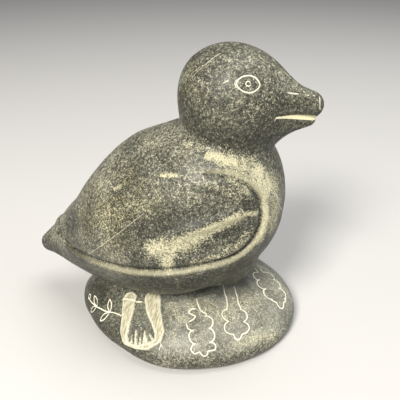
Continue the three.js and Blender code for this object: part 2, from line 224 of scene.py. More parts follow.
def local_points(points: Points, at: Place, tilt: float,
                 turn: float = 0.0) -> Points:
    """Points in the axes of a form, turned about Z and then tilted about Y.

    Args:
        points: one row a point.
        at: the form's middle.
        tilt: turn about Y, in degrees.
        turn: turn about Z, in degrees.

    Returns:
        The points in the form's own axes.
    """
    d = points - np.array(at)
    ct, st = math.cos(math.radians(turn)), math.sin(math.radians(turn))
    x, y = d[:, 0] * ct + d[:, 1] * st, -d[:, 0] * st + d[:, 1] * ct
    cp, sp = math.cos(math.radians(tilt)), math.sin(math.radians(tilt))
    return np.stack([x * cp + d[:, 2] * sp, y, -x * sp + d[:, 2] * cp], axis=1)


def from_reach(q: Points, reach: Values) -> Values:
    """Distance-like value of a form whose scaled reach is 1 on its surface."""
    return FIELD_SLOPE * length_of(q) * (1.0 - 1.0 / np.maximum(reach, 1e-6))


# ------------------------------------------------------------------ the bird's form
@dataclass(frozen=True)
class BirdForm:
    """The carving without its relief: head, trunk, tail and mound, joined softly."""

    skull: Ellipsoid = Ellipsoid((18.0, 0.0, 105.0), (19.8, 18.3, 18.6), -9.0)
    neck: Ellipsoid = Ellipsoid((16.5, 0.0, 92.0), (17.0, 15.7, 19.8))
    upper_beak: Taper = Taper((29.0, 0.0, 104.6), (46.0, 0.0, 104.0), 10.4, 5.2, 0.72)
    lower_beak: Taper = Taper((30.0, 0.0, 99.0), (45.9, 0.0, 98.9), 9.9, 3.1, 0.72)
    breast: Ellipsoid = Ellipsoid((13.6, 0.0, 66.6), (26.7, 27.2, 30.1))
    belly: Ellipsoid = Ellipsoid((19.6, 0.0, 35.2), (11.4, 16.8, 10.3))
    tail: Taper = Taper((-43.5, 0.0, 34.5), (-69.0, 0.0, 24.0), 16.4, 5.0, 0.85)
    trunk_at: Place = (-0.5, 0.0, 44.7)
    trunk_back: float = 70.0
    trunk_front: float = 37.7
    trunk_half_width: float = 34.9
    trunk_up: float = 45.5
    trunk_down: float = 23.8
    trunk_pointed: float = 1.19
    trunk_full: float = 2.03
    trunk_ease: float = 0.3
    trunk_tilt: float = 20.7
    mound_at: Place = (0.0, 0.0, 4.5)
    mound_back: float = 50.2
    mound_front: float = 49.8
    mound_half_width: float = 41.0
    mound_up: float = 18.2
    mound_down: float = 12.0
    mound_pointed: float = 1.64
    mound_full: float = 1.92
    mound_edge: float = 2.1
    mound_turn: float = 6.5
    mound_middle: Span = (-0.5, 0.5)
    skull_blend: float = 6.0
    beak_blend: float = 7.0
    mouth_blend: float = 0.8
    breast_blend: float = 10.0
    tail_blend: float = 4.0
    belly_blend: float = 7.0
    foot_blend: float = 5.0
    collar_blend: float = 2.5
    arris: float = 0.9
    least_slope: float = 0.1

    def head(self, p: Points) -> Values:
        """Skull, neck and the two halves of the beak.

        Args:
            p: one row a point, in millimetres.

        Returns:
            A value for each point, negative inside.
        """
        skull = blend(self.skull.value(p), self.neck.value(p), self.skull_blend)
        beak = blend(self.upper_beak.value(p), self.lower_beak.value(p), self.mouth_blend)
        return blend(skull, beak, self.beak_blend)

    def trunk(self, p: Points) -> Values:
        """An egg on its side: pointed behind, full in front.

        Args:
            p: one row a point, in millimetres.

        Returns:
            A value for each point, negative inside.
        """
        q = local_points(p, self.trunk_at, self.trunk_tilt)
        along = np.abs(q[:, 0]) / np.where(q[:, 0] < 0.0, self.trunk_back, self.trunk_front)
        up_down = np.where(q[:, 2] < 0.0, self.trunk_down, self.trunk_up)
        across = np.hypot(q[:, 1] / self.trunk_half_width, q[:, 2] / up_down)
        ease = self.trunk_ease
        low, high = -0.5 * ease * self.trunk_back, 0.5 * ease * self.trunk_front
        n = self.trunk_pointed + (self.trunk_full - self.trunk_pointed) * ramp(low, high, q[:, 0])
        eased = (along**2 + ease**2) ** (n / 2.0) - ease**n
        whole = (1.0 + ease**2) ** (n / 2.0) - ease**n
        return from_reach(q, (across**n + eased / whole) ** (1.0 / n))

    def body(self, p: Points) -> Values:
        """Trunk, breast, belly and tail.

        Args:
            p: one row a point, in millimetres.

        Returns:
            A value for each point, negative inside.
        """
        rounded = blend(self.trunk(p), self.breast.value(p), self.breast_blend)
        rounded = blend(rounded, self.belly.value(p), self.belly_blend)
        return blend(rounded, self.tail.value(p), self.tail_blend)

    def mound(self, p: Points) -> Values:
        """The low rounded mound, without its flat underside.

        Args:
            p: one row a point, in millimetres.

        Returns:
            A value for each point, negative inside.
        """
        q = local_points(p, self.mound_at, 0.0, self.mound_turn)
        along = q[:, 0] / np.where(q[:, 0] < 0.0, self.mound_back, self.mound_front)
        middle = ramp(*self.mound_middle, along)
        m = self.mound_pointed + (self.mound_full - self.mound_pointed) * middle
        across = np.abs(q[:, 1]) / self.mound_half_width
        plan = (np.abs(along) ** m + across**m + 1e-12) ** (1.0 / m)
        up_down = np.where(q[:, 2] < 0.0, self.mound_down, self.mound_up)
        edge = self.mound_edge
        return from_reach(q, (plan**edge + np.abs(q[:, 2] / up_down) ** edge) ** (1.0 / edge))

    def stone(self, p: Points) -> Values:
        """The whole form, cut off flat below with a slightly rounded arris.

        Args:
            p: one row a point, in millimetres.

        Returns:
            A value for each point, negative inside.
        """
        lower = blend(self.body(p), self.mound(p), self.foot_blend)
        lower = -blend(-lower, p[:, 2], self.arris)
        return blend(lower, self.head(p), self.collar_blend)

    def settle(self, points: Points, rounds: int = 4) -> Points:
        """Move points onto the surface by a few steps along the slope.

        Args:
            points: one row a point, near the surface.
            rounds: how many steps to take.

        Returns:
            The points on the surface.
        """
        p = np.array(points, dtype=float)
        for _ in range(rounds):
            slope = slope_at(self.stone, p)
            steepness = np.maximum(np.einsum("ij,ij->i", slope, slope), self.least_slope)
            p -= (self.stone(p) / steepness)[:, None] * slope
        return p

    def normals(self, points: Points) -> Points:
        """Outward directions at points of the surface."""
        return unit(slope_at(self.stone, points))


# ------------------------------------------------------------------ the wing's edge and the mouth
@dataclass(frozen=True)
class WingEdge:
    """The wing's edge in the side view, and the relief that runs along it."""

    form: BirdForm
    mid: Span = (-10.0, 44.8)
    rise: float = 0.23
    bow: float = 0.9
    bow_reach: float = 33.0
    front: float = 34.6
    top: float = 83.2
    top_round: float = 16.4
    front_round: float = 10.5
    tail: Span = (-58.5, 37.6)
    tail_rise: float = 43.0
    tail_round: float = 9.0
    fade_height: Span = (62.0, 76.0)
    fade_length: Span = (7.0, 25.0)
    swell_tail: float = 0.35
    swell: float = 1.0
    tail_span: Span = (-57.0, -27.0)
    swell_span: Span = (-16.0, -5.0)
    roll: float = 2.4
    line: float = 0.95
    rim_inner: float = 1.7
    rim_raise: float = 1.0
    rim_outer: float = 8.0
    rim_breast: float = 0.25
    breast_span: Span = (56.0, 70.0)

    def distance(self, p: Points) -> Values:
        """Signed distance to the edge in the side view, negative on the wing.

        Args:
            p: one row a point, in millimetres.

        Returns:
            A distance for each point, in millimetres.
        """
        x, z = p[:, 0], p[:, 2]
        u = np.minimum(np.abs(x - self.mid[0]) / self.bow_reach, 1.0)
        lower_z = self.mid[1] + self.rise * (x - self.mid[0]) - self.bow * u * u
        below = (lower_z - z) / math.hypot(1.0, self.rise)
        s = rounded_corner(below, x - self.front, self.front_round)
        s = rounded_corner(s, z - self.top, self.top_round)
        angle = math.radians(self.tail_rise)
        behind = -(x - self.tail[0]) * math.sin(angle) - (z - self.tail[1]) * math.cos(angle)
        return rounded_corner(s, behind, self.tail_round)

    def strength(self, p: Points) -> Values:
        """How far the edge is cut at each place: it dies away over the shoulder."""
        over_shoulder = ramp(*self.fade_height, p[:, 2])
        return 1.0 - over_shoulder * (1.0 - ramp(*self.fade_length, p[:, 0]))

    def height(self, p: Points) -> Values:
        """Height of the wing and its rim above the plain trunk.

        Args:
            p: one row a point, in millimetres.

        Returns:
            A height for each point, in millimetres.
        """
        s = self.distance(p)
        swell = self.swell_tail + (self.swell - self.swell_tail) * ramp(*self.tail_span, p[:, 0])
        roll_over = (swell + self.line) * ramp(-self.roll, 0.0, s)
        inside = swell * ramp(*self.swell_span, s) - roll_over
        rim = self.rim_breast + (1.0 - self.rim_breast) * (1.0 - ramp(*self.breast_span, p[:, 2]))
        raised = self.rim_raise * rim * ramp(0.0, self.rim_inner, s)
        raised = raised * (1.0 - ramp(self.rim_inner, self.rim_outer, s))
        outside = raised - self.line * (1.0 - ramp(0.0, self.rim_inner, s))
        return self.strength(p) * np.where(s < 0.0, inside, outside)

    def on_trunk(self, p: Points) -> Values:
        """True where the trunk, not the head or the mound, is the surface."""
        form = self.form
        return form.body(p) < np.minimum(form.head(p), form.mound(p))


@dataclass(frozen=True)
class Mouth:
    """The straight wedge between the two halves of the beak, open towards the tip."""

    form: BirdForm
    corner: Span = (36.0, 101.4)
    tip: Span = (48.0, 100.2)
    half: float = 1.3
    deep: float = 1.1
    side_span: Span = (0.1, 0.6)
    opening_span: Span = (-2.0, 8.0)

    def distance(self, p: Points) -> Values:
        """Signed distance to the mouth's line in the side view, positive above it.

        Args:
            p: one row a point, in millimetres.

        Returns:
            A distance for each point, in millimetres.
        """
        fall = (self.tip[1] - self.corner[1]) / (self.tip[0] - self.corner[0])
        across = p[:, 2] - self.corner[1] - fall * (p[:, 0] - self.corner[0])
        return across / math.hypot(1.0, fall)

    def opening(self, p: Points) -> Values:
        """How wide open the mouth is: 0 behind its corner, 1 near the tip."""
        start, full = self.opening_span
        return ramp(self.corner[0] + start, self.corner[0] + full, p[:, 0])

    def sideways(self, normals: Points) -> Values:
        """1 on the beak's sides, where the cut is made, and 0 at its front."""
        return ramp(*self.side_span, np.abs(normals[:, 1]))

    def height(self, p: Points, normals: Points) -> Values:
        """Depth of the cut, as a negative height.

        Args:
            p: one row a point, in millimetres.
            normals: the outward direction at each point.

        Returns:
            A height for each point, 0 or less.
        """
        away = np.abs(self.distance(p))
        cut = self.opening(p) * self.sideways(normals)
        return -self.deep * cut * np.maximum(1.0 - away / self.half, 0.0)

    def on_head(self, p: Points) -> Values:
        """True where the head is the surface."""
        return self.form.head(p) < self.form.body(p)


@dataclass(frozen=True)
class Scoop:
    """The hollow between the ridge on the wing and the wing's lower edge, on both sides."""

    wing: WingEdge
    ridge: tuple[Span, ...] = (
        (-6.0, 53.6), (2.0, 58.6), (8.0, 61.8), (15.0, 64.4), (20.8, 66.6), (25.4, 68.9),
        (29.2, 69.6), (34.0, 68.8))
    ridge_slope: float = 0.92
    deep: float = 1.5
    steep: Span = (-0.2, 2.6)
    border: Span = (2.6, 6.4)
    back_span: Span = (0.0, 17.0)
    front_span: Span = (30.0, 35.0)
    raised: float = 0.55
    raised_below: float = -0.8
    raised_reach: float = 3.2
    raised_span: Span = (-6.0, 4.0)
    dip: float = 0.7
    dip_band: Band = (-17.0, -8.0, -6.0, -1.2)
    dip_span: Span = (-4.0, 10.0)

    def below(self, p: Points) -> Values:
        """Signed distance below the ridge in the side view."""
        x, z = np.array(self.ridge).T
        return self.ridge_slope * (np.interp(p[:, 0], x, z) - p[:, 2])

    def height(self, p: Points) -> Values:
        """The hollow under the ridge, the ridge itself and the shallower dip above it.

        Args:
            p: one row a point, in millimetres.

        Returns:
            A height for each point, in millimetres.
        """
        below, edge = self.below(p), np.maximum(-self.wing.distance(p), 0.0)
        inside = ramp(*self.border, edge)
        hollow = ramp(*self.steep, below) * inside * ramp(*self.back_span, p[:, 0])
        proud = 1.0 - ramp(0.0, self.raised_reach, np.abs(below - self.raised_below))
        proud = proud * ramp(*self.raised_span, p[:, 0]) * (1.0 - ramp(*self.front_span, p[:, 0]))
        dip = band(self.dip_band, below) * inside * ramp(*self.dip_span, p[:, 0])
        return self.raised * proud - self.deep * hollow - self.dip * dip


# ------------------------------------------------------------------ the scratched drawing
@dataclass(frozen=True)
class Stroke:
    """One pass of the scribing point over the stone: a path on the surface, in millimetres."""

    path: Points
    half: Values
    depth: float
    tone: float

    def gap(self, p: Points, reach: float) -> tuple[Values, Values]:
        """Measure how near points are to the stroke.

        Args:
            p: one row a point.
            reach: farther points are left out.

        Returns:
            The numbers of the points that are near, and their distance to the stroke's outline.
        """
        low, high = self.path.min(axis=0) - reach, self.path.max(axis=0) + reach
        near = np.flatnonzero(np.all((p > low) & (p < high), axis=1))
        a, b = self.path[:-1], self.path[1:]
        span = b - a
        size = np.maximum(np.einsum("ij,ij->i", span, span), TINY)
        best = np.full(len(near), reach)
        for first in range(0, len(near), BLOCK):
            block = near[first:first + BLOCK]
            d = p[block][:, None, :] - a[None]
            t = np.clip(np.einsum("nij,ij->ni", d, span) / size, 0.0, 1.0)
            away = length_of(d - t[..., None] * span[None])
            away = away - (self.half[:-1] * (1.0 - t) + self.half[1:] * t)
            best[first:first + BLOCK] = away.min(axis=1)
        return near, best


@dataclass(frozen=True)
class Pen:
    """How the scribing point is held: the line's width, depth and stray, and how pale it is."""

    width: float
    depth: float
    wobble: float = 0.1
    tone: float = 1.0


@dataclass
class Hand:
    """The carver's hand: turns drawn lines into strokes on the stone, with a slight wobble."""

    form: BirdForm
    seed: int
    spacing: float = 0.45
    knot_every: int = 5
    pressure: Span = (0.75, 1.2)
    end_width: float = 0.45
    end_growth: float = 0.25

    def __post_init__(self) -> None:
        """Start the wobble from the seed."""
        self.random = np.random.default_rng(self.seed)

    def resample(self, path: Points) -> Points:
        """Space the points of a path evenly.

        Args:
            path: the corners of a line.

        Returns:
            Points along the line, about the spacing apart.
        """
        steps = length_of(np.diff(path, axis=0))
        along = np.concatenate([[0.0], np.cumsum(steps)])
        count = max(int(along[-1] / self.spacing), 2)
        wanted = np.linspace(0.0, along[-1], count + 1)
        return np.column_stack([np.interp(wanted, along, path[:, k]) for k in range(path.shape[1])])

    def stroke(self, path: Points, pen: Pen) -> Stroke:
        """Lay a path of 3-D points on the stone.

        Args:
            path: points near the surface.
            pen: how the scribing point is held.

        Returns:
            The stroke, with its points on the surface.
        """
        points = self.resample(np.asarray(path, dtype=float))
        count = len(points)
        knots = max(count // self.knot_every, 2)
        places = np.linspace(0.0, knots - 1.0, count)
        for axis in range(3):
            stray = self.random.normal(0.0, pen.wobble, knots)
            points[:, axis] += np.interp(places, np.arange(knots), stray)
        pressure = self.random.uniform(*self.pressure, knots)
        half = 0.5 * pen.width * np.interp(places, np.arange(knots), pressure)
        ends = np.minimum(np.arange(count), np.arange(count)[::-1])
        half = half * np.clip(self.end_width + self.end_growth * ends, 0.0, 1.0)
        return Stroke(self.form.settle(points), half, pen.depth, pen.tone)


@dataclass(frozen=True)
class Scrape:
    """A strip scraped up on the mound: the points that it runs through and half its width there."""

    path: tuple[Place, ...]
    half: tuple[float, ...]

    def stroke(self, form: BirdForm) -> Stroke:
        """The strip, laid on the stone."""
        return Stroke(form.settle(np.array(self.path)), np.array(self.half), 0.0, 1.0)


@dataclass(frozen=True)
class Legs:
    """Two legs, the band of the feet and the toes, in low relief on the near side."""

    form: BirdForm
    height_above: float = 1.0
    soft: float = 0.55
    toe_soft: float = 0.3
    toe_share: float = 0.7
    reach: float = 4.0
    limbs: tuple[Scrape, ...] = (
        Scrape(((-19.0, -22.4, 18.4), (-17.2, -29.5, 15.0), (-16.6, -34.5, 11.1),
                (-15.3, -36.9, 8.4)), (3.2, 2.6, 2.1, 1.5)),
        Scrape(((-8.6, -22.0, 20.6), (-6.6, -26.4, 18.9), (-3.6, -30.6, 17.0),
                (-1.0, -34.2, 14.8), (-0.9, -36.6, 12.9)), (3.6, 3.2, 2.6, 2.1, 1.5)),
        Scrape(((-15.2, -37.2, 7.9), (-10.0, -38.6, 8.4), (-5.0, -38.6, 10.1),
                (-1.2, -37.2, 12.4)), (1.0, 0.9, 1.4, 1.2)),
    )
    toes: tuple[Scrape, ...] = (
        Scrape(((-12.3, -37.5, 9.0), (-13.0, -35.9, 11.0)), (0.5, 0.2)),
        Scrape(((-10.2, -38.0, 9.2), (-11.5, -34.4, 13.2)), (0.75, 0.4)),
        Scrape(((-8.3, -38.0, 10.0), (-9.0, -36.1, 12.2)), (0.5, 0.2)),
        Scrape(((-6.0, -37.8, 10.8), (-7.6, -34.5, 14.0)), (1.3, 0.2)),
        Scrape(((-3.2, -36.9, 12.6), (-5.0, -35.5, 13.6)), (0.6, 0.25)),
    )

    def distance(self, p: Points, scrapes: tuple[Scrape, ...]) -> Values:
        """Smallest signed distance from each point to the strips' outlines, at most the reach.

        Args:
            p: one row a point, in millimetres.
            scrapes: the strips to measure to.

        Returns:
            A distance for each point, in millimetres.
        """
        best = np.full(len(p), self.reach)
        for scrape in scrapes:
            near, away = scrape.stroke(self.form).gap(p, self.reach)
            best[near] = np.minimum(best[near], away)
        return best

    def scraped(self, p: Points) -> Values:
        """Signed distance to the outline of all that is scraped pale, negative inside."""
        return self.distance(p, self.limbs + self.toes)

    def height(self, p: Points) -> Values:
        """Height of legs, feet and toes above the plain mound.

        Args:
            p: one row a point, in millimetres.

        Returns:
            A height for each point, in millimetres.
        """
        legs = 1.0 - ramp(-self.soft, self.soft, self.distance(p, self.limbs))
        toes = 1.0 - ramp(-self.soft, self.toe_soft, self.distance(p, self.toes))
        return self.height_above * np.maximum(legs, self.toe_share * toes)


@dataclass(frozen=True)
class Patch:
    """A local drawing plane on the stone: an origin, a direction along and one across."""

    origin: Points
    along: Points
    across: Points

    @staticmethod
    def between(form: BirdForm, start: Points, end: Points) -> "Patch":
        """Lay the plane from one point of the surface towards another.

        Args:
            form: the form that is drawn on.
            start: where the plane starts.
            end: where it points to.

        Returns:
            The plane, touching the stone at its start.
        """
        a, b = form.settle(np.array([start, end], dtype=float))
        along = (b - a) / np.linalg.norm(b - a)
        normal = form.normals(np.array([0.5 * (a + b)]))[0]
        across = np.cross(normal, along)
        return Patch(a, along, across / np.linalg.norm(across))

    def place(self, drawing: Points) -> Points:
        """Points of the plane for 2-D points, along and across."""
        return self.origin + drawing[:, :1] * self.along + drawing[:, 1:] * self.across


@dataclass(frozen=True)
class LobedLeaf:
    """The outline of a lobed leaf that hangs from a stalk, drawn down one side and up the other."""

    start: Place
    tip: Place
    width: float
    lobes: float
    stalk: float
    stalk_gap: float
    phases: Span
    left_from: float = 0.0
    lobe_depth: float = 0.44
    slant: float = 0.05
    fullness: tuple[Span, ...] = ((0.0, 0.7), (0.25, 1.0), (0.8, 0.95), (0.86, 0.75))
    tip_from: float = 0.86
    tip_width: float = 0.3
    stalk_part: float = 0.6
    shoulder: float = 0.1
    samples: int = 70
    pen: Pen = Pen(0.52, 0.32, 0.16, 0.92)

    def side(self, length: float, sign: float, phase: float) -> Points:
        """One side of the leaf in its own plane, from the stalk to the tip.

        Args:
            length: from the top of the stalk to the tip.
            sign: 1 for the right side, -1 for the left.
            phase: shifts the lobes along the side, in turns.

        Returns:
            Points as along and across.
        """
        t = np.linspace(0.0, 1.0, self.samples)
        turn = 2.0 * np.pi * (self.lobes * t / self.tip_from + phase)
        envelope = np.interp(t, *np.array(self.fullness).T)
        blade = envelope * (1.0 - self.lobe_depth * (0.5 + 0.5 * np.cos(turn)))
        inside = np.clip((t - self.tip_from) / (1.0 - self.tip_from), 0.0, 1.0)
        lobe = self.tip_width * np.sqrt(1.0 - inside**2)
        across = np.where(t < self.tip_from, blade, lobe)
        lean = self.slant * np.sin(turn) * (inside == 0.0)
        along = self.stalk + (length - self.stalk) * (t - lean)
        gap = self.stalk_gap / self.width
        across = gap + (across - gap) * ramp(0.0, self.shoulder, t)
        stalk = np.array([[0.0, gap], [self.stalk_part * self.stalk, gap]])
        points = np.vstack([stalk, np.column_stack([along, across])])
        return points * np.array([1.0, 0.5 * sign * self.width])

    def strokes(self, hand: Hand) -> list[Stroke]:
        """The leaf as one scratched line.

        Args:
            hand: the hand that draws.

        Returns:
            The one stroke.
        """
        patch = Patch.between(hand.form, np.array(self.start), np.array(self.tip))
        length = float(np.linalg.norm(np.array(self.tip) - np.array(self.start)))
        left = self.side(length, -1.0, self.phases[1])[::-1]
        left = left[left[:, 0] >= self.left_from * length]
        outline = np.vstack([self.side(length, 1.0, self.phases[0]), left])
        return [hand.stroke(patch.place(outline), self.pen)]


@dataclass(frozen=True)
class Sprig:
    """A bent stem with small pointed leaves, scratched from the left leg towards the tail."""

    stem: tuple[Place, ...] = (
        (-20.0, -29.1, 14.4), (-23.9, -28.0, 13.7), (-27.7, -27.1, 12.7), (-31.4, -25.6, 11.8),
        (-34.7, -23.7, 11.0), (-38.6, -21.2, 10.0), (-42.0, -17.9, 9.5))
    leaves: tuple[tuple[Place, Place], ...] = (
        ((-26.4, -27.5, 13.0), (-28.9, -22.0, 15.2)), ((-26.6, -27.5, 13.0), (-31.1, -28.7, 8.1)),
        ((-34.7, -23.7, 11.1), (-38.5, -18.6, 12.1)), ((-35.0, -23.5, 11.0), (-38.7, -23.2, 6.4)),
        ((-41.0, -18.8, 9.4), (-42.1, -16.3, 10.7)))
    leaf_width: float = 2.0
    samples: int = 12
    stem_pen: Pen = Pen(0.5, 0.3, 0.1)
    leaf_pen: Pen = Pen(0.45, 0.25, 0.06)

    def leaf(self, hand: Hand, foot: Points, tip: Points) -> Stroke:
        """One narrow pointed leaf, as a loop from the stem.

        Args:
            hand: the hand that draws.
            foot: where the leaf leaves the stem.
            tip: its tip.

        Returns:
            The stroke.
        """
        patch = Patch.between(hand.form, foot, tip)
        length = float(np.linalg.norm(tip - foot))
        t = np.linspace(0.0, 1.0, self.samples)
        side = np.column_stack([t * length, 0.5 * self.leaf_width * np.sin(np.pi * t)])
        loop = np.vstack([side, side[::-1] * np.array([1.0, -1.0])])
        return hand.stroke(patch.place(loop), self.leaf_pen)

    def strokes(self, hand: Hand) -> list[Stroke]:
        """Stem and leaves.

        Args:
            hand: the hand that draws.

        Returns:
            The stem and then each leaf.
        """
        drawn = [hand.stroke(np.array(self.stem), self.stem_pen)]
        drawn += [self.leaf(hand, np.array(foot), np.array(tip)) for foot, tip in self.leaves]
        return drawn


@dataclass(frozen=True)
class Eye:
    """An almond ring with a small ring for the pupil, on one side of the head."""

    side: int
    centre: Place = (26.5, -13.8, 113.7)
    front: Place = (30.2, -11.9, 113.2)
    half_length: float = 4.1
    half_height: float = 2.8
    pointed: float = 0.3
    pupil: float = 0.85
    ring_turn: Span = (0.1, 2.0 * math.pi + 0.2)
    again_turn: Span = (0.8 * math.pi, 1.22 * math.pi)
    again_scale: Span = (1.16, 0.95)
    samples: tuple[int, int, int] = (50, 14, 16)
    ring_pen: Pen = Pen(0.44, 0.28, 0.06, 0.92)
    again_pen: Pen = Pen(0.3, 0.2, 0.06, 0.7)
    pupil_pen: Pen = Pen(0.34, 0.22, 0.02, 0.9)

    def strokes(self, hand: Hand) -> list[Stroke]:
        """The almond, gone over twice at its back corner, and the pupil.

        Args:
            hand: the hand that draws.

        Returns:
            The ring, its second pass and the pupil.
        """
        mirror = np.array([1.0, float(-self.side), 1.0])
        patch = Patch.between(hand.form, np.array(self.centre) * mirror,
                              np.array(self.front) * mirror)
        upright = np.array([1.0, float(-self.side)])
        around, part, small = self.samples
        turn = np.linspace(*self.ring_turn, around)
        lens = np.sin(turn) * np.abs(np.sin(turn)) ** self.pointed
        almond = np.column_stack([self.half_length * np.cos(turn), self.half_height * lens])
        again = np.linspace(*self.again_turn, part)
        wide, high = self.again_scale
        back = np.column_stack([wide * self.half_length * np.cos(again),
                                high * self.half_height * np.sin(again)])
        ring = np.linspace(0.0, 2.0 * np.pi, small)
        pupil = self.pupil * np.column_stack([np.cos(ring), np.sin(ring)])
        drawn = ((almond, self.ring_pen), (back, self.again_pen), (pupil, self.pupil_pen))
        return [hand.stroke(patch.place(line * upright), pen) for line, pen in drawn]


@dataclass(frozen=True)
class Mark:
    """A single scratch, nick or cut, by the points that it runs through."""

    name: str
    path: tuple[Place, ...]
    width: float
    depth: float
    tone: float = 1.0
    both_sides: bool = False
    wobble: float = 0.08

    def strokes(self, hand: Hand) -> list[Stroke]:
        """The mark, and its twin on the other side where there is one.

        Args:
            hand: the hand that draws.

        Returns:
            One stroke, or two where there is a twin.
        """
        sides = (1.0, -1.0) if self.both_sides else (1.0,)
        paths = [np.array(self.path) * np.array([1.0, side, 1.0]) for side in sides]
        pen = Pen(self.width, self.depth, self.wobble, self.tone)
        return [hand.stroke(path, pen) for path in paths]


MARKS = (
    Mark("nostril", ((38.9, -6.1, 109.8), (40.6, -5.3, 109.3), (42.6, -4.2, 108.8)),
         0.6, 0.45, 0.72, True),
    Mark("beak_pit", ((45.3, -2.9, 108.4), (45.9, -2.6, 108.3)), 0.6, 0.5, 0.6),
    Mark("beak_tip_cut", ((49.3, -1.2, 107.6), (49.9, -2.4, 105.0), (50.0, -2.7, 103.2)),
         0.36, 0.25, 0.8),
    Mark("beak_tip_fork", ((49.9, -2.5, 104.6), (50.5, -2.1, 103.0)), 0.3, 0.2, 0.6),
    Mark("mouth_corner", ((37.6, -8.2, 101.2), (36.2, -9.0, 101.2), (35.8, -9.6, 99.9)),
         0.5, 0.3, 0.9, True),
    Mark("crown_scratch", ((16.0, -7.9, 121.8), (11.6, -11.0, 118.4), (6.9, -12.6, 113.8)),
         0.26, 0.10, 0.55),
    Mark("crown_nick", ((10.6, -14.3, 114.2), (9.4, -14.3, 112.6)), 0.3, 0.1, 0.5),
    Mark("temple_nick", ((20.2, -15.0, 114.6), (18.4, -15.4, 113.4)), 0.4, 0.12, 0.6),
    Mark("long_wing_scratch", ((-6.4, -29.7, 67.9), (-16.9, -30.6, 57.9), (-25.5, -27.9, 48.9),
                               (-33.5, -24.8, 41.2)), 0.24, 0.10, 0.46),
    Mark("shoulder_scratch", ((0.0, -19.9, 85.3), (-6.6, -22.8, 79.4), (-12.5, -25.3, 73.6)),
         0.22, 0.08, 0.36),
    Mark("breast_crack", ((36.3, -12.7, 74.1), (38.3, -9.7, 71.5), (39.1, -8.6, 68.3),
                          (39.6, -7.7, 65.9), (40.5, -3.3, 61.7)), 0.36, 0.25, 0.8),
    Mark("foot_fork_left", ((0.2, -36.9, 12.8), (0.5, -37.8, 12.0), (0.2, -39.5, 9.7)),
         0.32, 0.15, 0.85),
    Mark("foot_fork_right", ((0.5, -37.6, 12.2), (1.8, -38.8, 10.8)), 0.32, 0.15, 0.85),
    Mark("left_cuff", ((-23.0, -22.7, 16.9), (-18.8, -23.1, 17.8), (-15.4, -23.6, 18.3),
                       (-13.0, -23.3, 18.9)), 0.7, 0.2, 0.9),
    Mark("leaf_curl", ((10.9, -22.0, 19.5), (9.0, -22.4, 19.4), (8.0, -24.3, 19.0),
                       (9.6, -25.0, 18.7), (11.4, -25.2, 18.4), (10.8, -26.8, 18.0),
                       (9.2, -28.4, 17.4)), 0.5, 0.3),
    Mark("leaf_outer_line", ((29.4, 16.9, 17.7), (33.4, 18.5, 15.9), (38.5, 14.4, 14.8)),
         0.34, 0.2, 0.6),
    Mark("leaf_ring", ((33.2, -3.3, 18.3), (34.0, -3.9, 18.1), (33.2, -4.6, 18.1),
                       (32.5, -3.9, 18.3), (33.2, -3.3, 18.3)), 0.3, 0.2, 0.7),
)
LEAVES = (
    LobedLeaf((8.6, -17.4, 21.3), (18.5, -36.0, 8.6), 10.6, 3.2, 6.4, 2.2, (0.37, 0.46), 0.42),
    LobedLeaf((20.6, -5.2, 21.2), (29.9, -26.9, 12.0), 10.8, 2.45, 10.6, 5.0, (0.60, 0.60)),
    LobedLeaf((30.0, 14.8, 18.0), (44.6, -4.0, 12.7), 13.0, 3.5, 2.2, 3.0, (0.85, 0.80)),
)


# ------------------------------------------------------------------ rubbing, painted light and shade, and unevenness
@dataclass(frozen=True)
class Touch:
    """A soft-edged place on the stone that follows a path, where its colour is rubbed pale, tanned,
    darkened with painted shade or lit with a painted highlight.
    """

    path: tuple[Place, ...]
    reach: float
    amount: float
    core: float = 0.15

    def weight(self, p: Points) -> Values:
        """How strongly each point is touched: the amount on the path, 0 beyond the reach.

        Args:
            p: one row a point, in millimetres.

        Returns:
            A weight for each point.
        """
        path = np.array(self.path)
        best = np.full(len(p), FAR)
        for a, b in zip(path[:-1], path[1:]):
            t = np.clip((p - a) @ (b - a) / max(float((b - a) @ (b - a)), TINY), 0.0, 1.0)
            best = np.minimum(best, length_of(p - a - t[:, None] * (b - a)))
        return self.amount * (1.0 - ramp(self.core, 1.0, best / self.reach))
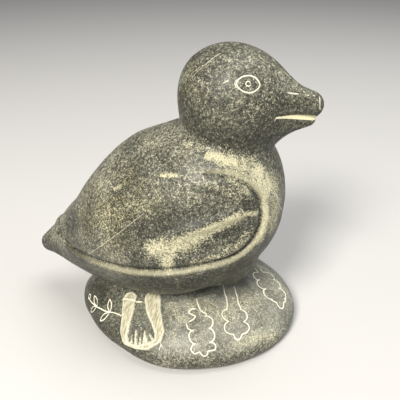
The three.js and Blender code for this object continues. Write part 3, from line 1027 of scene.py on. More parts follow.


# pale rubbed places; the one on the breast's front is also a painted highlight on that lit face
SCUFFS_AND_HIGHLIGHTS = (
    Touch(((33.0, -19.2, 69.0), (29.2, -22.6, 69.8), (25.4, -25.2, 69.2)), 1.9, 0.76),
    Touch(((27.0, -24.4, 69.0), (20.8, -28.2, 65.6), (15.0, -30.3, 62.8), (8.0, -32.0, 60.0)),
          4.4, 0.80),
    Touch(((12.0, -31.4, 60.4), (5.0, -32.9, 57.6), (-1.5, -33.7, 56.0)), 6.4, 0.68),
    Touch(((4.4, -33.2, 56.6), (3.6, -33.9, 53.0), (3.2, -34.4, 49.6)), 4.8, 0.70),
    Touch(((21.0, -28.2, 63.2), (15.0, -31.2, 59.0), (8.0, -33.2, 54.0)), 3.4, 0.34),
    Touch(((30.5, -22.4, 61.4), (27.7, -24.8, 57.7), (22.1, -28.4, 53.6), (12.0, -32.6, 51.0)),
          3.6, 0.42),
    Touch(((6.0, -17.0, 92.0), (11.0, -17.6, 90.6), (16.5, -17.4, 89.3)), 3.4, 0.44),
    Touch(((15.5, -18.2, 88.0), (22.6, -17.6, 86.6)), 4.4, 0.80),
    Touch(((20.0, -17.6, 87.2), (27.0, -16.6, 85.5), (31.0, -14.6, 83.6)), 7.0, 0.60),
    Touch(((31.2, -14.6, 82.0), (33.6, -13.4, 79.4), (35.0, -13.0, 76.0)), 6.6, 0.78),
    Touch(((34.6, -14.2, 77.0), (35.4, -16.0, 70.4), (36.1, -15.7, 63.0), (34.4, -18.3, 56.3)),
          3.6, 0.58),
    # rubbing and a painted highlight on the lit front of the breast
    Touch(((36.4, -11.0, 77.0), (38.4, -10.0, 70.0), (37.6, -12.0, 60.0)), 9.0, 0.58),
    Touch(((23.6, -20.3, 83.4), (26.0, -20.5, 80.5), (28.4, -20.4, 77.8)), 5.4, 0.50),
    Touch(((16.0, -24.6, 80.0), (22.0, -24.0, 78.4), (27.0, -23.4, 75.0)), 2.4, 0.40),
    Touch(((-0.3, -23.2, 20.0), (3.6, -26.0, 18.9), (7.7, -27.8, 17.8)), 3.4, 0.46),
    Touch(((32.9, -6.8, 18.0), (30.0, -11.5, 18.2), (27.0, -16.0, 18.0)), 6.0, 0.42),
    Touch(((30.0, -28.0, 10.0), (38.7, -20.1, 10.6), (43.0, -16.0, 6.0)), 6.0, 0.46),
    Touch(((10.0, -20.0, 20.5), (22.0, -20.0, 19.0), (33.0, -8.0, 18.0)), 9.0, 0.42),
    Touch(((4.0, -34.0, 14.0), (7.0, -37.0, 9.0)), 5.0, 0.35),
    Touch(((-27.0, -26.5, 57.0), (-19.0, -28.5, 62.0), (-12.0, -28.0, 69.0)), 12.0, 0.34),
    Touch(((-2.0, -23.2, 80.7), (3.8, -23.8, 81.7)), 1.7, 0.74),
    Touch(((-20.8, -22.8, 72.1), (-18.3, -23.0, 73.8)), 1.5, 0.6),
    Touch(((30.0, -14.5, 105.0), (33.0, -11.5, 107.0)), 8.0, 0.22),
    Touch(((-48.0, 0.0, 55.0), (-30.0, 0.0, 70.0), (-12.0, 0.0, 82.0)), 9.0, 0.3),
    Touch(((18.0, 14.0, 90.4), (26.0, 15.0, 87.5), (33.0, 9.0, 84.0)), 4.6, 0.45),
    Touch(((33.0, 19.2, 69.0), (25.4, 25.2, 69.2), (15.0, 30.1, 64.2)), 2.8, 0.5),
)
# painted shade: mostly the shade in the hollow and dip by the wing's ridge, under the head, on the
# mound below the tail and under the tail; some patches on the wing are the stone's darker tone
SHADE_AND_DARK_PATCHES = (
    Touch(((27.0, -25.0, 64.5), (22.0, -28.0, 61.5), (17.0, -30.2, 58.0)), 4.2, 0.9),
    Touch(((28.0, -22.0, 73.5), (18.0, -28.0, 71.0), (6.0, -31.0, 68.0)), 6.5, 0.55),
    Touch(((6.0, -20.0, 84.0), (-6.0, -24.0, 78.0)), 8.0, 0.3),
    Touch(((2.0, -12.0, 103.0), (10.0, -17.0, 98.0), (22.0, -17.0, 95.0)), 13.0, 1.0),
    Touch(((27.0, 25.0, 64.5), (17.0, 30.2, 58.0)), 4.2, 0.8),
    Touch(((-44.0, -14.0, 9.0), (-34.0, -22.0, 13.0), (-27.0, -30.0, 10.0)), 18.0, 1.0),
    Touch(((2.0, -33.0, 48.0), (-12.0, -33.0, 46.0)), 5.0, 0.6),
    Touch(((-6.0, -31.0, 60.0), (4.0, -31.0, 65.0)), 9.0, 0.85),
    Touch(((-46.0, -16.0, 46.0), (-38.0, -22.0, 44.0)), 13.0, 0.6),
)
TANNED = (
    Touch(((-34.0, -22.0, 58.0), (-20.0, -27.0, 60.0), (-12.0, -27.0, 72.0)), 19.0, 0.8),
    Touch(((8.0, -12.0, 112.0), (4.0, -10.0, 104.0)), 10.0, 0.7),
    Touch(((-30.0, 22.0, 55.0), (-10.0, 27.0, 64.0)), 20.0, 0.6),
)


# ------------------------------------------------------------------ from field to fine mesh
@dataclass
class FineMesh:
    """A closed triangle mesh that is refined where the work on the stone is fine."""

    points: Points
    triangles: np.ndarray

    @staticmethod
    def net(form: Callable[[Points], Values], low: Points, high: Points, cell: float) -> "FineMesh":
        """Wrap a field in a net with one vertex for each grid cell that its surface crosses.

        Args:
            form: the field, negative inside.
            low: lowest corner of the grid.
            high: highest corner of the grid.
            cell: edge of a grid cell.

        Returns:
            The mesh, with its faces pointing out.
        """
        axes = [np.arange(low[k], high[k] + cell, cell) for k in range(3)]
        shape = tuple(len(axis) for axis in axes)
        grid = np.stack(np.meshgrid(*axes, indexing="ij"), axis=-1).reshape(-1, 3)
        value = form(grid).reshape(shape)
        value = np.where(value == 0.0, TINY, value)
        total, count = np.zeros((value.size, 3)), np.zeros(value.size)
        rings, flips = [], []
        for axis in range(3):
            near = [slice(None)] * 3
            far = [slice(None)] * 3
            near[axis], far[axis] = slice(None, -1), slice(1, None)
            a, b = value[tuple(near)], value[tuple(far)]
            start = np.argwhere((a < 0.0) != (b < 0.0))
            va, vb = a[tuple(start.T)], b[tuple(start.T)]
            crossing = start.astype(float)
            crossing[:, axis] += va / (va - vb)
            side, up = (axis + 1) % 3, (axis + 2) % 3
            ring = []
            for back_side, back_up in ((0, 0), (1, 0), (1, 1), (0, 1)):
                cells = start.copy()
                cells[:, side] -= back_side
                cells[:, up] -= back_up
                ids = np.ravel_multi_index(cells.T, shape)
                np.add.at(total, ids, crossing)
                np.add.at(count, ids, 1.0)
                ring.append(ids)
            rings.append(np.stack(ring, axis=1))
            flips.append(va >= 0.0)
        used = np.flatnonzero(count)
        number = np.full(value.size, -1)
        number[used] = np.arange(len(used))
        points = np.array(low) + cell * total[used] / count[used, None]
        quads, flip = number[np.concatenate(rings)], np.concatenate(flips)
        quads[flip] = quads[flip][:, ::-1]
        a, b, c, d = quads.T
        first = length_of(points[a] - points[c]) <= length_of(points[b] - points[d])
        one = np.where(first[:, None], np.stack([a, b, c], 1), np.stack([b, c, d], 1))
        two = np.where(first[:, None], np.stack([a, c, d], 1), np.stack([b, d, a], 1))
        return FineMesh(points, np.concatenate([one, two]))

    def split(self, point_on: Callable[[Points, Points], tuple[np.ndarray, Points]]) -> int:
        """Split edges and the triangles that share them.

        Args:
            point_on: takes both ends of all edges and gives which to split, and where.

        Returns:
            The number of edges that were split.
        """
        sides = self.triangles[:, [0, 1, 1, 2, 2, 0]].reshape(-1, 2)
        low, high = sides.min(axis=1).astype(np.int64), sides.max(axis=1).astype(np.int64)
        keys, inverse = np.unique(low * len(self.points) + high, return_inverse=True)
        a, b = keys // len(self.points), keys % len(self.points)
        chosen, new_points = point_on(self.points[a], self.points[b])
        number = np.full(len(keys), -1)
        number[chosen] = len(self.points) + np.arange(int(chosen.sum()))
        self.points = np.concatenate([self.points, new_points])
        middles = number[inverse.reshape(-1)].reshape(-1, 3)
        cuts = (middles >= 0).sum(axis=1)
        corners, made = self.triangles, [self.triangles[cuts == 0]]
        for amount in (1, 2):
            rows = np.flatnonzero(cuts == amount)
            # turn the corners so that the odd one of the three edges comes first or last
            odd = (middles[rows] >= 0) if amount == 1 else (middles[rows] < 0)
            turn = (odd.argmax(axis=1) + (0 if amount == 1 else 1)) % 3
            pick = (turn[:, None] + np.arange(3)) % 3
            p, q, r = np.take_along_axis(corners[rows], pick, 1).T
            pq, qr, _ = np.take_along_axis(middles[rows], pick, 1).T
            if amount == 1:
                made += [np.stack([p, pq, r], 1), np.stack([pq, q, r], 1)]
                continue
            across = length_of(self.points[p] - self.points[qr])
            other = length_of(self.points[pq] - self.points[r])
            short = (across <= other)[:, None]
            made += [np.stack([pq, q, qr], 1),
                     np.where(short, np.stack([p, pq, qr], 1), np.stack([p, pq, r], 1)),
                     np.where(short, np.stack([p, qr, r], 1), np.stack([pq, qr, r], 1))]
        p, q, r = corners[cuts == 3].T
        pq, qr, rp = middles[cuts == 3].T
        made += [np.stack(t, 1) for t in ((p, pq, rp), (pq, q, qr), (rp, qr, r), (pq, qr, rp))]
        self.triangles = np.concatenate(made)
        return int(chosen.sum())

    def relax(self, settle: Callable[[Points], Points]) -> None:
        """Move each vertex to the middle of its neighbours, on the surface.

        Args:
            settle: moves points back on to the surface.
        """
        total = np.zeros_like(self.points)
        count = np.bincount(self.triangles.reshape(-1), minlength=len(self.points))
        ahead = self.points[self.triangles[:, [1, 2, 0]].reshape(-1)]
        for axis in range(3):
            total[:, axis] = np.bincount(self.triangles.reshape(-1), ahead[:, axis],
                                         len(self.points))
        self.points = settle(total / count[:, None])


def strongest(touches: tuple[Touch, ...], p: Points) -> Values:
    """The strongest of several touches at each point."""
    return np.maximum.reduce([np.zeros(len(p))] + [touch.weight(p) for touch in touches])


@dataclass(frozen=True)
class Unevenness:
    """The slight unevenness of hand work, and the chips at the foot, as heights and wavelengths."""

    wave: Span = (0.22, 15.0)
    facet: Span = (0.09, 5.5)
    grain: Span = (0.025, 1.9)
    chip: Span = (0.5, 3.6)
    chip_rare: float = 0.1
    chip_span: Span = (1.5, 6.0)
    foot_span: Span = (0.1, 2.2)

    def height(self, p: Points) -> Values:
        """Height of the unevenness above the carving: none at the flat underside.

        Args:
            p: one row a point, in millimetres.

        Returns:
            A height for each point, in millimetres.
        """
        layers = (self.wave, self.facet, self.grain)
        uneven = sum(high * smooth_noise(p, length, seed)
                     for seed, (high, length) in enumerate(layers, 1))
        deep, length = self.chip
        chipped = np.minimum(smooth_noise(p, length, len(layers) + 1) + self.chip_rare, 0.0)
        chipped = chipped * (1.0 - ramp(*self.chip_span, p[:, 2]))
        return (uneven + deep * chipped) * ramp(*self.foot_span, p[:, 2])


@dataclass(frozen=True)
class WearAndPaintedLight:
    """Where the stone is rubbed or dry, and where shade and highlights are painted on it: by its
    edges, its mouth and its slope.
    """

    form: BirdForm
    wing: WingEdge
    mouth: Mouth
    rim_band: Band = (0.4, 0.9, 1.2, 3.6)
    rim_span: Span = (-52.0, -14.0)
    rim_rub_and_highlight: float = 0.22
    rim_highlight_band: Band = (0.35, 0.8, 0.9, 2.6)
    rim_highlight_span: Span = (-60.0, -8.0)
    foot_span: Span = (0.5, 3.5)
    foot_amount: float = 0.3
    line_span: Span = (0.15, 0.75)
    line_amount: float = 0.75
    seam_reach: float = 3.0
    seam_amount: float = 0.25
    ledge_span: Span = (-0.1, 0.5)
    lip_wide: Span = (0.55, 0.7)
    lip_lower: Span = (-0.15, 0.1)
    lip_upper: Span = (-0.25, 0.0)
    lip_span: Span = (35.6, 36.6)
    under_slope: Span = (0.35, -0.4)
    under_span: Span = (3.0, 8.0)
    chin_slope: Span = (0.75, -0.15)
    chin_lean: float = 0.35
    chin_amount: float = 0.6
    dry_seam: Span = (-3.0, 3.0)
    dry_slope: Span = (0.1, 0.7)
    dry_span: Span = (-20.0, 8.0)
    dry_least: float = 0.1

    def on_wing(self, p: Points, amount: Values) -> Values:
        """An amount that counts only on the trunk, and dies away with the wing's edge."""
        return np.where(self.wing.on_trunk(p), amount * self.wing.strength(p), 0.0)

    def rubbed(self, p: Points) -> Values:
        """Rubbed pale: the scuffs, the wing's rim and the foot of the stone; on the rim and the
        breast's front the pale is also a painted highlight.

        Args:
            p: one row a point, in millimetres.

        Returns:
            A share from 0 to 1 for each point.
        """
        rim = band(self.rim_band, self.wing.distance(p)) * ramp(*self.rim_span, p[:, 0])
        foot = self.foot_amount * (1.0 - ramp(*self.foot_span, p[:, 2]))
        rubbed = np.maximum(strongest(SCUFFS_AND_HIGHLIGHTS, p), self.on_wing(p, self.rim_rub_and_highlight * rim))
        return np.maximum(rubbed, foot)

    def edge(self, p: Points) -> Values:
        """A painted highlight: the pale line along the top of the wing's rim."""
        rim = band(self.rim_highlight_band, self.wing.distance(p)) * ramp(*self.rim_highlight_span, p[:, 0])
        return self.on_wing(p, rim)

    def sunk(self, p: Points, normals: Points) -> Values:
        """Dark in shade: the sunk line at the wing, the seam over the mound and the mouth.

        Args:
            p: one row a point, in millimetres.
            normals: the outward direction at each point.

        Returns:
            A share from 0 to 1 for each point.
        """
        line = 1.0 - ramp(*self.line_span, np.abs(self.wing.distance(p)))
        seam = np.abs(self.form.body(p) - self.form.mound(p))
        seam = self.seam_amount * (1.0 - ramp(0.0, self.seam_reach, seam))
        cut = np.where(self.mouth.on_head(p), -self.mouth.height(p, normals), 0.0)
        cut = cut / self.mouth.deep * ramp(*self.ledge_span, self.mouth.distance(p))
        return np.maximum(np.maximum(self.on_wing(p, self.line_amount * line), seam), cut)

    def lip(self, p: Points) -> Values:
        """The pale band along the lower lip.

        Args:
            p: one row a point, in millimetres.

        Returns:
            A share from 0 to 1 for each point.
        """
        ledge = self.mouth.distance(p)
        wide = self.lip_wide[0] + self.lip_wide[1] * self.mouth.opening(p)
        low, high = self.lip_lower
        pale = ramp(-wide + low, -wide + high, ledge) * (1.0 - ramp(*self.lip_upper, ledge))
        return np.where(self.mouth.on_head(p), pale * ramp(*self.lip_span, p[:, 0]), 0.0)

    def painted_shade(self, p: Points, normals: Points) -> Values:
        """Painted shade: darker where the surface faces down, under the chin, and at the dark places,
        which are partly darker stone.

        Args:
            p: one row a point, in millimetres.
            normals: the outward direction at each point.

        Returns:
            A share from 0 to 1 for each point.
        """
        under = ramp(*self.under_slope, normals[:, 2]) * ramp(*self.under_span, p[:, 2])
        chin = ramp(*self.chin_slope, normals[:, 2] - self.chin_lean * normals[:, 0])
        chin = np.where(self.mouth.on_head(p), self.chin_amount * chin, 0.0)
        return np.maximum(np.maximum(under, chin), strongest(SHADE_AND_DARK_PATCHES, p))

    def dry(self, p: Points, normals: Points) -> Values:
        """Dry and dusty: the top of the mound, more so in front.

        Args:
            p: one row a point, in millimetres.
            normals: the outward direction at each point.

        Returns:
            A share from 0 to 1 for each point.
        """
        mound = ramp(*self.dry_seam, self.form.body(p) - self.form.mound(p))
        mound = mound * ramp(*self.dry_slope, normals[:, 2])
        return mound * (self.dry_least + (1.0 - self.dry_least) * ramp(*self.dry_span, p[:, 0]))


@dataclass
class CarvedSurface:
    """The fine mesh of the bird, with everything that was cut, scratched or rubbed on it.

    The first sizes are the edge lengths wanted in the mesh and how they grow with the distance
    from the work, and the others belong to the relief.
    """

    form: BirdForm = field(default_factory=BirdForm)
    uneven: Unevenness = field(default_factory=Unevenness)
    seed: int = 11
    low: Place = (-80.3, -47.3, -6.3)
    high: Place = (58.0, 47.0, 130.0)
    coarse: float = 2.6
    plain: float = 1.2
    crease: float = 0.75
    crease_reach: float = 2.0
    line: float = 0.5
    line_growth: float = 0.12
    least_strength: float = 0.15
    mouth_edge: float = 0.3
    mouth_growth: float = 0.3
    mouth_reach: float = 1.7
    mouth_behind: float = 3.0
    scraped: float = 0.42
    scraped_growth: float = 0.35
    rim_foot: float = 0.7
    rim_foot_height: float = 2.5
    scribed: float = 0.25
    scribed_growth: float = 0.55
    scribed_reach: float = 2.5
    too_long: float = 1.4
    rounds: int = 6
    least_slope: float = 0.05
    fade: Span = (0.0, 1.2)
    mound_fade: Span = (-0.4, 0.6)
    cut_reach: float = 0.3
    cut_wall: Span = (-0.3, 0.12)
    scraped_wall: Span = (-0.3, 0.2)
    streak: Span = (0.14, 0.8)
    streak_stretch: Place = (1.0, 0.4, 0.4)
    trace_reach: float = 1.5
    scraped_reach: float = 3.0

    def __post_init__(self) -> None:
        """Draw all the strokes before the mesh is made, so that it can follow them."""
        self.wing = WingEdge(self.form)
        self.mouth = Mouth(self.form)
        self.scoop = Scoop(self.wing)
        self.legs = Legs(self.form)
        self.wear_and_painted_light = WearAndPaintedLight(self.form, self.wing, self.mouth)
        hand = Hand(self.form, self.seed)
        drawn = [Eye(-1), Eye(1), *LEAVES, Sprig(), *MARKS]
        self.strokes = [stroke for figure in drawn for stroke in figure.strokes(hand)]
        LOG.info("drew %d strokes: eyes, %d leaves, sprig, %s", len(self.strokes), len(LEAVES),
                 ", ".join(mark.name for mark in MARKS))

    def stroke_gap(self, p: Points, reach: float) -> tuple[Values, Values]:
        """Distance from each point to the nearest scratched line's outline, and that line's tone.

        Args:
            p: one row a point, in millimetres.
            reach: farther lines are left out.

        Returns:
            The distance to the nearest line's outline, and that line's tone.
        """
        gap, tone = np.full(len(p), reach), np.ones(len(p))
        for stroke in self.strokes:
            near, away = stroke.gap(p, reach)
            closer = away < gap[near]
            gap[near[closer]] = away[closer]
            tone[near[closer]] = stroke.tone
        return gap, tone

    def wanted_edge(self, p: Points) -> Values:
        """Edge length wanted in the mesh at each point.

        Args:
            p: one row a point, in millimetres.

        Returns:
            A length for each point, in millimetres.
        """
        form = self.form
        head, body, mound = form.head(p), form.body(p), form.mound(p)
        on_head, on_trunk = head < body, (body < head) & (body < mound)
        wanted = np.full(len(p), self.plain)
        valley = np.minimum(np.abs(head - body), np.abs(body - mound))
        wanted = np.where(valley < self.crease_reach, self.crease, wanted)
        away = self.line + self.line_growth * np.abs(self.wing.distance(p))
        at_wing = on_trunk & (self.wing.strength(p) > self.least_strength)
        wanted = np.where(at_wing, np.minimum(wanted, away), wanted)
        at_mouth = on_head & (p[:, 0] > self.mouth.corner[0] - self.mouth_behind)
        beyond = np.maximum(np.abs(self.mouth.distance(p)) - self.mouth_reach, 0.0)
        beside = self.mouth_edge + self.mouth_growth * beyond
        wanted = np.where(at_mouth, np.minimum(wanted, beside), wanted)
        near_legs = np.maximum(self.legs.scraped(p), 0.0)
        wanted = np.minimum(wanted, self.scraped + self.scraped_growth * near_legs)
        at_foot = p[:, 2] < self.rim_foot_height
        wanted = np.where(at_foot, np.minimum(wanted, self.rim_foot), wanted)
        gap = np.maximum(self.stroke_gap(p, self.scribed_reach)[0] - self.scribed, 0.0)
        wanted = np.minimum(wanted, self.scribed + self.scribed_growth * gap)
        return np.where(p[:, 2] < FLAT, self.plain * 2.0, wanted)

    def split_long(self, p: Points, q: Points) -> tuple[np.ndarray, Points]:
        """Choose the edges that are too long for where they lie, and their middles.

        Args:
            p: one end of each edge.
            q: the other end.

        Returns:
            Which edges to split, and the new points on the surface.
        """
        middle = 0.5 * (p + q)
        chosen = length_of(p - q) > self.too_long * self.wanted_edge(middle)
        return chosen, self.form.settle(middle[chosen], 3)

    def slide_to(self, line: Callable[[Points], Values], applies: Callable[[Points], np.ndarray],
                 p: Points) -> Points:
        """Slide the vertices near a line along the surface until they lie on it.

        Args:
            line: signed distance to the line.
            applies: tells where the line is cut.
            p: the vertices.

        Returns:
            The vertices, with those near the line moved on to it.
        """
        near = np.flatnonzero(applies(p) & (np.abs(line(p)) < 0.5 * self.wanted_edge(p)))
        moved = p[near]
        for _ in range(3):
            normal = self.form.normals(moved)
            slope = slope_at(line, moved)
            slope -= np.einsum("ij,ij->i", slope, normal)[:, None] * normal
            steepness = np.maximum(np.einsum("ij,ij->i", slope, slope), self.least_slope)
            moved = self.form.settle(moved - (line(moved) / steepness)[:, None] * slope, 2)
        p = p.copy()
        p[near] = moved
        return p

    def relief(self, p: Points, normals: Points) -> Values:
        """Height of all carving above the plain form, at points with their outward directions.

        Args:
            p: the vertices, on the plain form.
            normals: the outward direction at each point.

        Returns:
            A height for each vertex, in millimetres.
        """
        form = self.form
        head, body, mound = form.head(p), form.body(p), form.mound(p)
        on_head = ramp(*self.fade, body - head)
        on_trunk = ramp(*self.fade, np.minimum(head, mound) - body)
        on_mound = ramp(*self.mound_fade, body - mound)
        height = on_head * self.mouth.height(p, normals) + on_mound * self.legs.height(p)
        height += on_trunk * (self.wing.height(p) + self.scoop.height(p))
        for stroke in self.strokes:
            near, away = stroke.gap(p, self.cut_reach)
            cut = -stroke.depth * (1.0 - ramp(*self.cut_wall, away))
            height[near] = np.minimum(height[near], height[near] + cut)
        high, length = self.streak
        streaks = smooth_noise(p * np.array(self.streak_stretch), length, 5)
        scraped = 1.0 - ramp(*self.scraped_wall, self.legs.scraped(p))
        height += high * scraped * streaks
        return height + self.uneven.height(p)

    def build(self) -> FineMesh:
        """Make the mesh of the stone, before its relief.

        Returns:
            The mesh, on the plain form.
        """
        mesh = FineMesh.net(self.form.stone, np.array(self.low), np.array(self.high), self.coarse)
        mesh.points = self.form.settle(mesh.points)
        for _ in range(self.rounds):
            done = mesh.split(self.split_long)
            LOG.info("split %d edges: %d triangles", done, len(mesh.triangles))
            if not done:
                break
            mesh.relax(self.form.settle)
        corner = self.mouth.corner[0]
        mouth_line = (self.mouth.distance, lambda p: self.mouth.on_head(p) & (p[:, 0] > corner))
        wing_line = (self.wing.distance, lambda p: self.wing.on_trunk(p)
                     & (self.wing.strength(p) > self.least_strength))
        for line, applies in (mouth_line, wing_line):
            mesh.points = self.slide_to(line, applies, mesh.points)
        return mesh

    def traces(self, p: Points, normals: Points) -> dict[str, Values]:
        """What the finish has to know at each vertex.

        Args:
            p: the vertices, on the plain form.
            normals: their outward directions.

        Returns:
            A value for each vertex, by the name of the trace.
        """
        gap, tone = self.stroke_gap(p, self.trace_reach)
        wear_and_painted_light, reach = self.wear_and_painted_light, self.scraped_reach
        return {
            "scribed_gap": gap, "scribed_tone": tone,
            "painted_shade": wear_and_painted_light.painted_shade(p, normals), "dry": wear_and_painted_light.dry(p, normals),
            "scraped_gap": np.clip(self.legs.scraped(p), -reach, reach),
            "rubbed": wear_and_painted_light.rubbed(p), "sunk": wear_and_painted_light.sunk(p, normals),
            "lip": wear_and_painted_light.lip(p), "tanned": strongest(TANNED, p),
            # a painted highlight along the top of the wing's rim
            "edge": wear_and_painted_light.edge(p),
        }


# ------------------------------------------------------------------ finishes
class NodeBoard:
    """Places nodes in a shader tree and wires them up, from left to right."""

    def __init__(self, tree: bpy.types.NodeTree) -> None:
        """Start on a tree."""
        self.tree = tree
        self.column = 0

    def node(self, kind: str, **settings: object) -> bpy.types.Node:
        """Place a node and set its properties.

        Args:
            kind: Blender's name for the kind of node.
            settings: its properties, by name.

        Returns:
            The node.
        """
        made = self.tree.nodes.new(kind)
        made.location = (180.0 * self.column, 0.0)
        self.column += 1
        for name, value in settings.items():
            setattr(made, name, value)
        return made

    def feed(self, socket: bpy.types.NodeSocket, value: object) -> None:
        """Wire a socket to another node's output, or give it a constant.

        Args:
            socket: the input to feed.
            value: another node's output, or a constant.
        """
        if isinstance(value, bpy.types.NodeSocket):
            self.tree.links.new(value, socket)
        else:
            socket.default_value = value

    def math(self, operation: str, a: object, b: object = 0.0) -> bpy.types.NodeSocket:
        """Work out a value from two others and give its socket.

        Args:
            operation: Blender's name for the operation.
            a: the first value.
            b: the second value.

        Returns:
            The socket of the result.
        """
        made = self.node("ShaderNodeMath", operation=operation)
        self.feed(made.inputs[0], a)
        self.feed(made.inputs[1], b)
        return made.outputs[0]

    def ramp(self, value: object, low: object, high: object, start: object = 0.0,
             end: object = 1.0) -> bpy.types.NodeSocket:
        """Map a value smoothly from the range low..high to start..end.

        Args:
            value: what is mapped.
            low: where the range begins.
            high: where it ends.
            start: the result at its beginning.
            end: the result at its end.

        Returns:
            The socket of the result.
        """
        made = self.node("ShaderNodeMapRange", interpolation_type="SMOOTHSTEP")
        for name, given in zip(("Value", "From Min", "From Max", "To Min", "To Max"),
                               (value, low, high, start, end)):
            self.feed(made.inputs[name], given)
        return made.outputs["Result"]

    def mix(self, share: object, a: object, b: object,
            blend_type: str = "MIX") -> bpy.types.NodeSocket:
        """Mix two colours and give the result's socket.

        Args:
            share: how much of the second colour, from 0 to 1.
            a: the first colour.
            b: the second colour.
            blend_type: Blender's name for the way to mix.

        Returns:
            The socket of the result.
        """
        made = self.node("ShaderNodeMix", data_type="RGBA", blend_type=blend_type)
        colours = [socket for socket in made.inputs if socket.type == "RGBA"]
        self.feed(made.inputs[0], share)
        self.feed(colours[0], a)
        self.feed(colours[1], b)
        return next(socket for socket in made.outputs if socket.type == "RGBA")

    def noise(self, place: object, scale: object, detail: float = 2.0,
              rough: float = 0.5) -> bpy.types.NodeSocket:
        """A noise value between 0 and 1.

        Args:
            place: where the noise is read.
            scale: cells to the metre.
            detail: how many finer layers it has.
            rough: how strong those are.

        Returns:
            The socket of the value.
        """
        made = self.node("ShaderNodeTexNoise", noise_dimensions="3D")
        self.feed(made.inputs["Vector"], place)
        self.feed(made.inputs["Scale"], scale)
        made.inputs["Detail"].default_value = detail
        made.inputs["Roughness"].default_value = rough
        return made.outputs["Fac"]

    def stretched(self, place: object, scale: Place, turn: float = 0.0) -> bpy.types.NodeSocket:
        """Draw places out along some axes and turn them about Z.

        Args:
            place: the places to change.
            scale: less than 1 draws the pattern out along that axis.
            turn: turn about Z, in radians.

        Returns:
            The socket of the changed places.
        """
        made = self.node("ShaderNodeMapping")
        made.inputs["Scale"].default_value = scale
        made.inputs["Rotation"].default_value = (0.0, 0.0, turn)
        self.feed(made.inputs["Vector"], place)
        return made.outputs["Vector"]

    def bump(self, height: object, strength: float, distance: float) -> bpy.types.NodeSocket:
        """A normal that stands for a fine relief.

        Args:
            height: the relief, from 0 to 1.
            strength: how strongly it shows.
            distance: its real depth, in metres.

        Returns:
            The socket of the normal.
        """
        made = self.node("ShaderNodeBump")
        made.inputs["Strength"].default_value = strength
        made.inputs["Distance"].default_value = distance
        self.feed(made.inputs["Height"], height)
        return made.outputs["Normal"]

    def trace(self, name: str) -> bpy.types.NodeSocket:
        """One of the values that the surface keeps at its vertices."""
        return self.node("ShaderNodeAttribute", attribute_name=name).outputs["Fac"]

    def group(self, tree: bpy.types.NodeTree, **given: object) -> bpy.types.Node:
        """Place a node group and feed its inputs by name, with _ for a space.

        Args:
            tree: the node group.
            given: a value or socket for each input, by name.

        Returns:
            The node.
        """
        made = self.node("ShaderNodeGroup", node_tree=tree)
        for name, value in given.items():
            self.feed(made.inputs[name.replace("_", " ")], value)
        return made


class GroupSocket(Enum):
    """Kinds of socket that the node groups use."""

    VALUE = "NodeSocketFloat"
    COLOUR = "NodeSocketColor"
    VECTOR = "NodeSocketVector"


def new_group(name: str, inputs: dict[str, GroupSocket],
              outputs: dict[str, GroupSocket]) -> tuple[NodeBoard, bpy.types.Node, bpy.types.Node]:
    """Start a shader node group.

    Args:
        name: the group's name.
        inputs: names and kinds of its inputs.
        outputs: names and kinds of its outputs.

    Returns:
        The board to work on, and the group's input and output nodes.
    """
    tree = bpy.data.node_groups.new(name, "ShaderNodeTree")
    for label, kind in inputs.items():
        tree.interface.new_socket(label, in_out="INPUT", socket_type=kind.value)
    for label, kind in outputs.items():
        tree.interface.new_socket(label, in_out="OUTPUT", socket_type=kind.value)
    board = NodeBoard(tree)
    return board, board.node("NodeGroupInput"), board.node("NodeGroupOutput")


def new_material(name: str) -> tuple[bpy.types.Material, NodeBoard, bpy.types.Node]:
    """Start a material that has a shader and a board.

    Args:
        name: the material's name.

    Returns:
        The material, the board to work on and the shader.
    """
    material = bpy.data.materials.new(name)
    material.use_nodes = True
    tree = material.node_tree
    return material, NodeBoard(tree), tree.nodes["Principled BSDF"]


